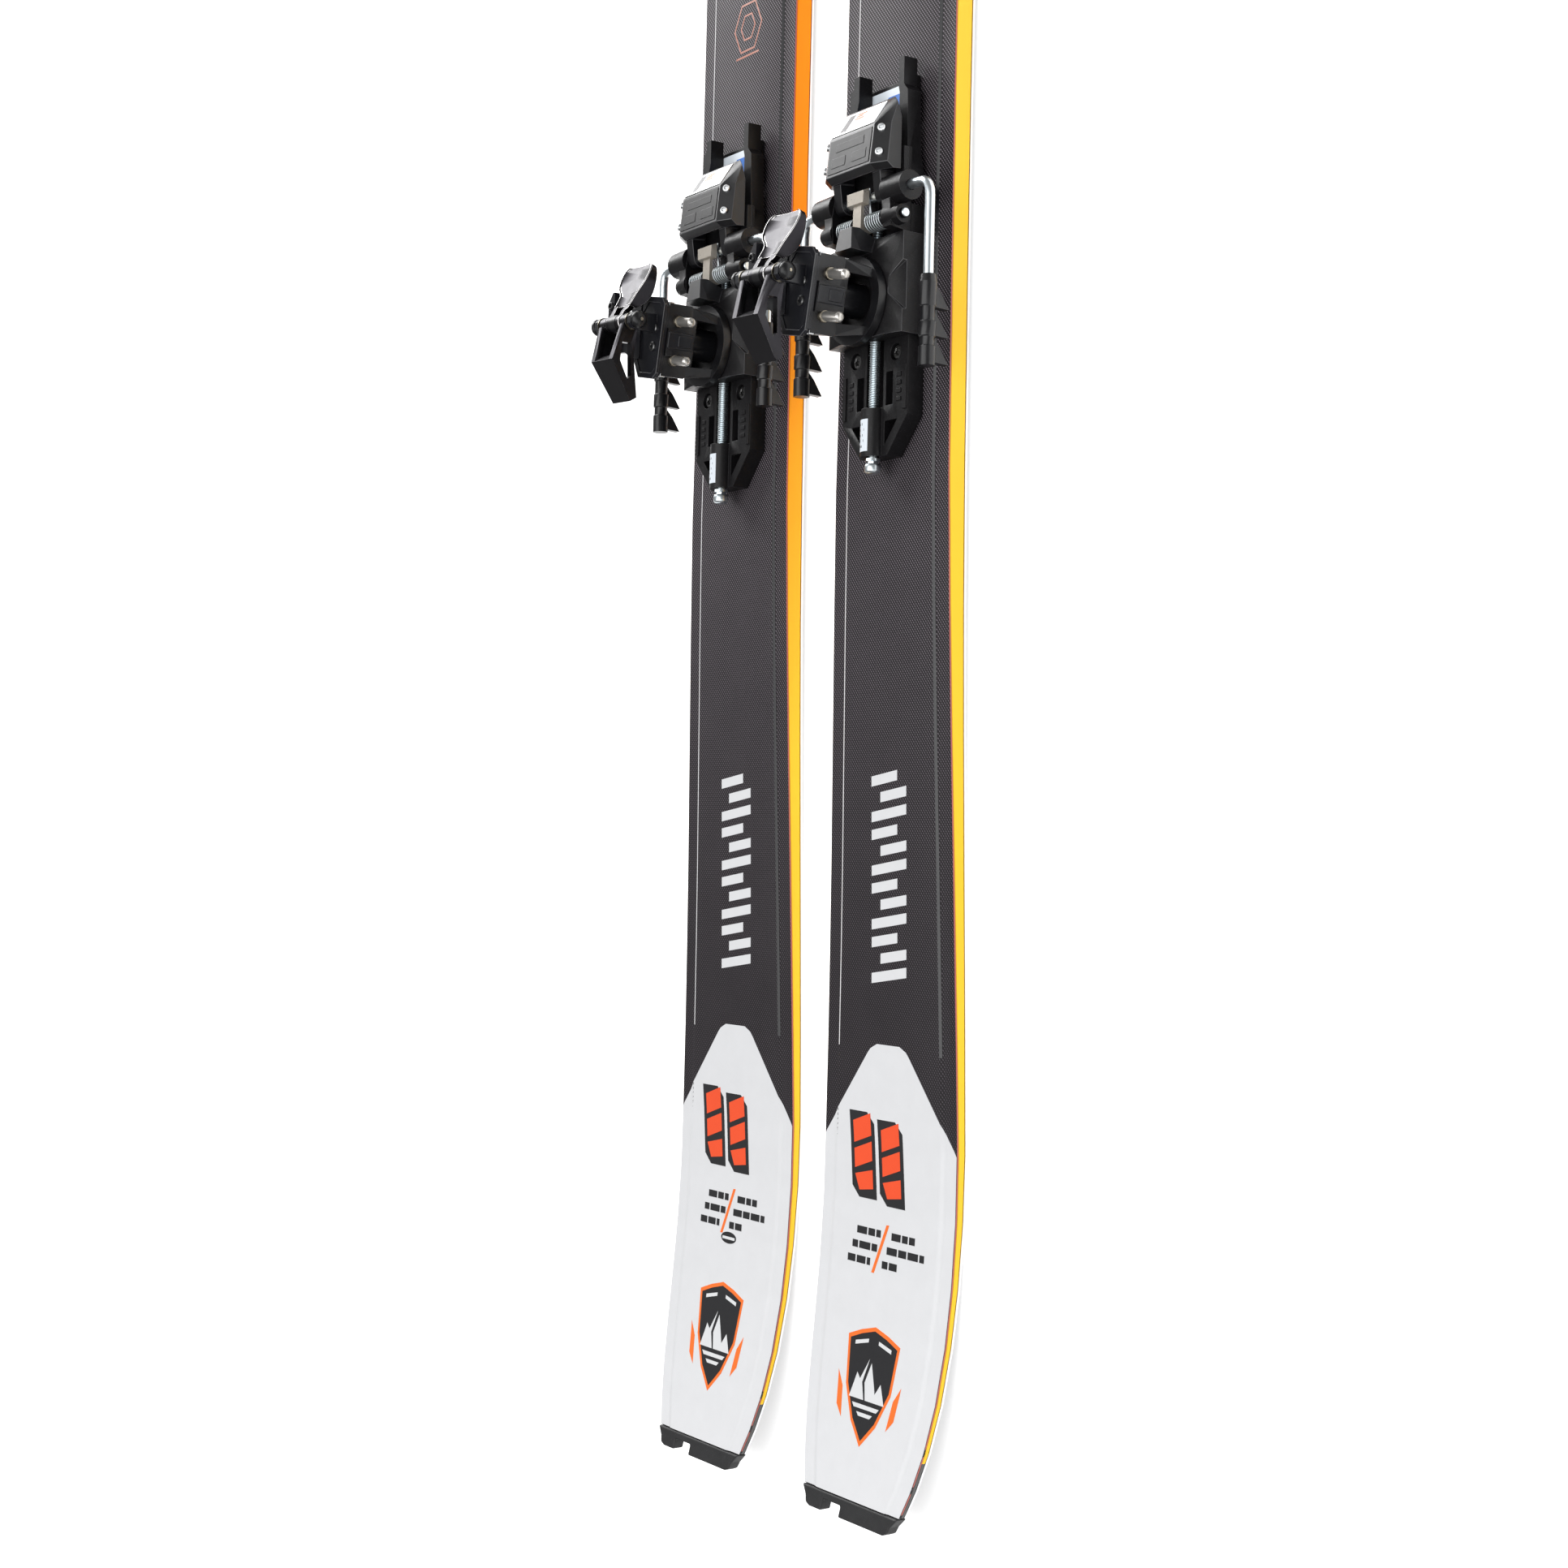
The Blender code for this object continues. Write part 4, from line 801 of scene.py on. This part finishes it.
def spindle(places):
    """The adjustment spindle: a hexagonal head, a collar and a thread of fine ridges."""
    side, z, sides = places.side, SPINDLE_HEIGHT, 14
    b = Builder(places.heel)
    head = [(0.6, -92.2), (3.4, -92.0), (4.7, -91.0), (4.9, -90.6), (4.9, -87.6), (4.5, -86.9), (3.1, -86.6),
            (3.1, -85.6), (4.4, -85.3), (4.4, -83.9), (3.0, -83.6)]
    b.lathe((0, 0, z), (0, 1, 0), head, 6, math.pi / 6)
    pitch, shank, start, end, root, crest = 1.25, -84.0, -57.0, 44.0, 2.62, 3.18
    rings = [(2.6, shank)]
    for k in range(int((end - start) / (pitch / 2)) + 1):
        rings.append((crest if k % 2 else root, start + k * pitch / 2))
    b.loft([[Vector((radius * math.cos(a), y, z + radius * math.sin(a))) for a in turns(sides)]
            for radius, y in rings])
    b.piece(f"{side}_threaded_spindle", body_of[f"{side}_adjustment_spindle"], "zinc", [ZINC],
            (f"{side}_adjustment_spindle",), 60)


def track_details(places):
    """Fixed on the track: four screws, side rails and rib pads."""
    b = Builder(places.heel)
    for x in (-18, 18):
        for y in (-28, 32):
            b.screw((x, y, 8.8), (0, 0, 1), 4.0)
    b.piece(f"{places.side}_track_screws", places.ski, "black_plastic", [BOLT])
    b = Builder(places.heel)
    low, rail_top, pad_top = 10.8, 11.9, 11.5
    for sx in (-1, 1):
        b.prism(rectangle(sx * 25.6, -60, sx * 28.6, -36), low, rail_top)
        for k in range(4):
            y = -55 + 4.4 * k
            b.prism(rectangle(sx * 19.5, y, sx * 23.5, y + 2.4), low, pad_top)
    bevelled(b.piece(f"{places.side}_track_rails", places.ski, "black_plastic", [BLACK]), 0.25)


def boss_label(places):
    """A label wrapped over the track's rear boss, with a column of printed dashes."""

    def round_boss(radius, degrees):
        a = math.radians(degrees)
        return radius * math.sin(a), SPINDLE_HEIGHT + radius * math.cos(a)

    def along_boss(a, c, y):
        return Vector((a, y, c))

    b = Builder(places.heel)
    outer = [round_boss(7.15, degrees) for degrees in range(-45, 32, 7)]
    inner = [round_boss(6.6, degrees) for degrees in range(31, -46, -7)]
    b.prism(outer + inner, -80.5, -63.0, along_boss)
    b.piece(f"{places.side}_boss_label", places.ski, "topsheet", [LABEL])
    b = Builder(places.heel)
    for k, length in enumerate((2.6, 4.2, 3.4, 4.6, 3.0)):
        y = -78.4 + 3.0 * k
        low, high = -26, -26 + length * 7
        outline = [round_boss(7.22, low), round_boss(7.22, high), round_boss(6.9, high), round_boss(6.9, low)]
        b.prism(outline, y, y + 1.3, along_boss)
    b.piece(f"{places.side}_boss_label_print", places.ski, "topsheet", [INK])


def front_label(places):
    """Label plate on the front tongue, with a plain blue hexagon."""
    for name, outline, low, high, material in (
        ("front_label", rectangle(-20.6, 101, 20.2, 120.6), 3.0, 3.5, LABEL),
        ("front_label_hexagon", oval((1.5, 108.5), (9.5, 9.0), 6), 3.4, 3.62, BLUE),
    ):
        b = Builder(places.heel)
        b.prism(outline, low, high)
        b.piece(f"{places.side}_{name}", places.ski, "topsheet", [material])


def brake_details(places):
    """Torsion springs on the brake's axle, and the screws in the pedal's sides."""
    side = places.side
    b = Builder(places.heel)
    for sx in (-1, 1):
        b.tube(coil(4.9, sx * 6.4, sx * 20.4, 7.0, 42, 20.4, (14, 2.2)), 0.42)
        b.tube([(sx * 5.8, 46.8, 21.0), (sx * 5.8, 61, 21.6)], 0.5)
    b.piece(f"{side}_brake_springs", f"{side}_carriage", "zinc", [SPRING], (), 60)
    b = Builder(places.heel)
    for sx in (-1, 1):
        for x, y, z in ((24.2, 88.7, 28.7), (24.4, 75.4, 30.2)):
            b.screw((sx * x, y, z), (sx * 0.55, 0.05, 0.83), 2.2, 0.8)
    b.piece(f"{side}_pedal_screws", f"{side}_brake", "zinc", [BRIGHT_BOLT])


def pedal_faces(places):
    """The pedal's top panel with three pads, and its front slope with a stripe and a label."""
    side, brake = places.side, f"{places.side}_brake"

    def on_top(x, y, lift):
        return Vector((x, y, 32.6 - 2.3 * (y - 69.5) / 21.5 + lift))

    def on_slope(x, y, lift):
        return Vector((x, y + lift * 0.55, 30.3 - 10.7 * (y - 91) / 16 + lift))

    def plate(b, place, outline, low, high):
        b.loft([[place(x, y, lift) for x, y in outline] for lift in (low, high)])

    b = Builder(places.heel)
    plate(b, on_top, [(-18.6, 71.0), (18.6, 71.0), (19.0, 90.0), (-19.0, 90.0)], -0.5, 0.35)
    for pad in ((-15.5, 74.0, -3.0, 79.5), (3.0, 74.0, 15.5, 79.5), (-12.5, 82.5, 12.5, 87.0)):
        plate(b, on_top, rectangle(*pad), 0.2, 0.55)
    bevelled(b.piece(f"{side}_pedal_panel", brake, "black_plastic", [PANEL]), 0.2)
    # The front slope is pale metal: painted reflection.
    b = Builder(places.heel)
    plate(b, on_slope, [(-19.2, 92.2), (19.2, 92.2), (19.0, 105.8), (-19.0, 105.8)], -0.5, 0.45)
    bevelled(b.piece(f"{side}_pedal_slope", brake, "black_plastic", [SLOPE_PAINTED_REFLECTION]), 0.35, 3)
    dashes = [rectangle(-4.8, y, x, y + 0.9) for x, y in ((2.8, 99.6), (1.0, 101.2), (3.4, 102.6))]
    for name, material, lift, shapes in (
        ("stripe", INK, 0.52, [rectangle(-13.0, 93.8, -7.6, 104.2)]),
        ("label", LABEL, 0.52, [rectangle(-6.8, 94.6, 5.2, 104.2)]),
        ("label_dashes", ORANGE, 0.6, dashes),
    ):
        b = Builder(places.heel)
        for shape in shapes:
            plate(b, on_slope, shape, lift - 0.3, lift)
        b.piece(f"{side}_pedal_{name}", brake, "topsheet", [material])


def turret_details(places):
    """On the turret: crown screws and rim, pin collars, clip ends and the housing between the pins."""
    side, turret = places.side, f"{places.side}_turret"
    b = Builder(places.turret)
    for u, v in ((1.8, 5.6), (2.2, -5.0)):
        b.screw((u, v, 62.4), (0, 0, 1), 2.8, 1.0)
    b.piece(f"{side}_crown_screws", turret, "zinc", [BOLT])
    b = Builder(places.turret)
    collar = [(3.1, 0), (3.5, 0.2), (3.5, 1.9), (3.2, 2.4), (2.85, 2.4)]
    for sv in (-1, 1):
        b.lathe((8.6, sv * 11.2, 51.2), (1, 0, 0), collar, 28)
    b.piece(f"{side}_pin_collars", turret, "nickel", [BRASS], (), 40)
    b = Builder(places.turret)
    for sv in (-1, 1):
        for u in (2.6, 7.2):
            b.prism(rectangle(u, sv * 19.5, u + 1.5, sv * 21.7), 55.0, 58.3)
    bevelled(b.piece(f"{side}_clip_ends", turret, "zinc", [BRIGHT_BOLT]), 0.3)
    b = Builder(places.turret)
    right_half = [(10.4, 20), (6.6, 23.6), (-9.6, 23.6), (-16.6, 14.6)]
    outer = right_half + [(u, -v) for u, v in reversed(right_half)]
    inner = [(u * 0.82 - 0.3, v * 0.86) for u, v in outer]
    loops = ((outer, 60.6), (outer, 62.6), (inner, 62.6), (inner, 61.6))
    b.loft([[Vector((u, v, height)) for u, v in loop] for loop, height in loops], closed=True)
    # The rim's bevels take the lighter edge material: painted highlight.
    bevelled(b.piece(f"{side}_crown_rim", turret, "black_plastic", [BLUE_BLACK, EDGE_HIGHLIGHT]), 0.35, 2, 1)
    b = Builder(places.turret)
    b.prism([(8.9, -5.6), (8.9, 5.6), (11.6, 4.6), (11.6, -4.6)], 40.5, 57.6)
    b.prism(rectangle(11.2, -3.2, 12.2, 3.2), 42.0, 51.0)
    bevelled(b.piece(f"{side}_centre_housing", turret, "black_plastic", [BLUE_BLACK]), 0.5)


def axle_details(places):
    """The nose's bush, and the climbing aids' axle: washers, a dot on its right end, a collar and screws."""
    side, turret, across = places.side, f"{places.side}_turret", (1, 0, 0)
    b = Builder(places.heel)
    b.lathe((0, 30.6, 31.6), (0, -0.1, 1), [(1.9, -0.6), (1.9, 0.35), (1.2, 0.35), (1.2, -0.4)], 20)
    b.piece(f"{side}_nose_bush", f"{side}_carriage", "zinc", [BOLT])
    b = Builder(places.riser)
    for x in (-15.9, 15.4):
        b.lathe((x, 0, 0), across, [(3.0, 0), (5.15, 0.05), (5.15, 0.45), (3.0, 0.5)], 28)
    b.lathe((25.7, 0, 0), across, [(0.9, 0), (0.9, 0.6), (0.6, 0.75)], 20)
    b.piece(f"{side}_riser_washers", turret, "zinc", [BRASS])
    b = Builder(places.riser)
    b.lathe((-3.6, 0, 0), across, [(3.0, 0), (5.2, 0.3), (5.2, 6.9), (3.0, 7.2)], 28)
    for y in (-14, 14):
        b.screw((-23.5, y, -7.5), (0, 0, 1), 2.6, 0.9)
    b.piece(f"{side}_riser_collar_and_screws", turret, "anodised", [DEEP], (), 60)


def heel_looks(places):
    for part in (heel_shells, spindle, track_details, boss_label, front_label, brake_details, pedal_faces,
                 turret_details, axle_details):
        part(places)


# ---------------------------------------------------------------- toe unit


def toe_looks(places):
    side = places.side
    dressed(f"{side}_toe_base", [BLACK], 0.6, 3)
    dressed(f"{side}_toe_housing", [BLACK], 0.9, 3)
    # The lever's and jaws' bevels take the worn edge material, partly painted highlight.
    dressed(f"{side}_toe_lever", [ANODISED, WORN_EDGE_AND_HIGHLIGHT], 0.6, 2, 1)
    for hand in SIDES:
        dressed(f"{side}_toe_jaw_{hand}", [ANODISED, WORN_EDGE_AND_HIGHLIGHT], 0.7, 2, 1)
    b = Builder(places.toe)
    for x in (-18, 18):
        for y in (-38, 38):
            b.screw((x, y, 3.2), (0, 0, 1), 4.0)
    b.piece(f"{side}_toe_screws", places.ski, "zinc", [BOLT])


for side in SIDES:
    unit_places = Places(side)
    ski_looks(unit_places)
    heel_looks(unit_places)
    toe_looks(unit_places)


# ---------------------------------------------------------------- floor, light and camera


def floor():
    """A pale, softly glowing plane just under the skis."""
    size, height, pale = 40.0, -0.0002, (0.93, 0.93, 0.93)
    made = bmesh.new()
    for x, y in rectangle(-size, -size, size, size):
        made.verts.new((x, y, height))
    made.faces.new(made.verts)
    mesh = bpy.data.meshes.new("floor")
    made.to_mesh(mesh)
    made.free()
    obj = bpy.data.objects.new("floor", mesh)
    bpy.context.scene.collection.objects.link(obj)
    s = Shader("floor_pale", pale, 0.7, Specular_IOR_Level=0.2)
    s.colour(s.mix(s.noise(2.0, 2), pale, (0.95, 0.95, 0.95)))
    s.set(s.main, "Emission Color", (1, 1, 1, 1))
    s.set(s.main, "Emission Strength", 0.6)
    mesh.materials.append(s.material)


def area_light(name, location, target, size, power):
    data = bpy.data.lights.new(name, "AREA")
    data.shape = "RECTANGLE"
    data.size, data.size_y = size
    data.energy = power
    obj = bpy.data.objects.new(name, data)
    bpy.context.scene.collection.objects.link(obj)
    obj.location = location
    obj.rotation_euler = (Vector(target) - Vector(location)).to_track_quat("-Z", "Y").to_euler()


def camera():
    """The view from the right, above and a little behind the skis' middle, with the skis upright in it."""
    data = bpy.data.cameras.new("view")
    data.sensor_width = 36.0
    data.lens = 54.121304
    data.clip_start, data.clip_end = 0.05, 50
    obj = bpy.data.objects.new("view", data)
    bpy.context.scene.collection.objects.link(obj)
    right = Vector((0.57065, 0.02394, -0.82084))
    down = Vector((-0.00963, -0.99931, -0.03584))
    forward = Vector((-0.82114, 0.02835, -0.57003))
    turn = Matrix((right, -down, -forward)).transposed()
    obj.matrix_world = Matrix.Translation((1.09661, -0.53760, 0.79142)) @ turn.to_4x4()
    bpy.context.scene.camera = obj


def surroundings():
    """Even white light from all round."""
    world = bpy.data.worlds.new("studio")
    world.use_nodes = True
    background = world.node_tree.nodes["Background"]
    background.inputs["Color"].default_value = (1, 1, 1, 1)
    background.inputs["Strength"].default_value = 0.24
    bpy.context.scene.world = world


floor()
surroundings()
area_light("overhead", (0.5, -0.5, 2.6), (0, -0.4, 0), (2.6, 3.2), 64)
area_light("far_left", (-1.9, 1.7, 1.0), (0, -0.1, 0), (1.8, 1.7), 82)
area_light("near_right", (2.0, -1.6, 1.5), (0, -0.3, 0), (1.8, 1.8), 16)
bpy.context.scene.view_settings.view_transform = "Standard"
camera()
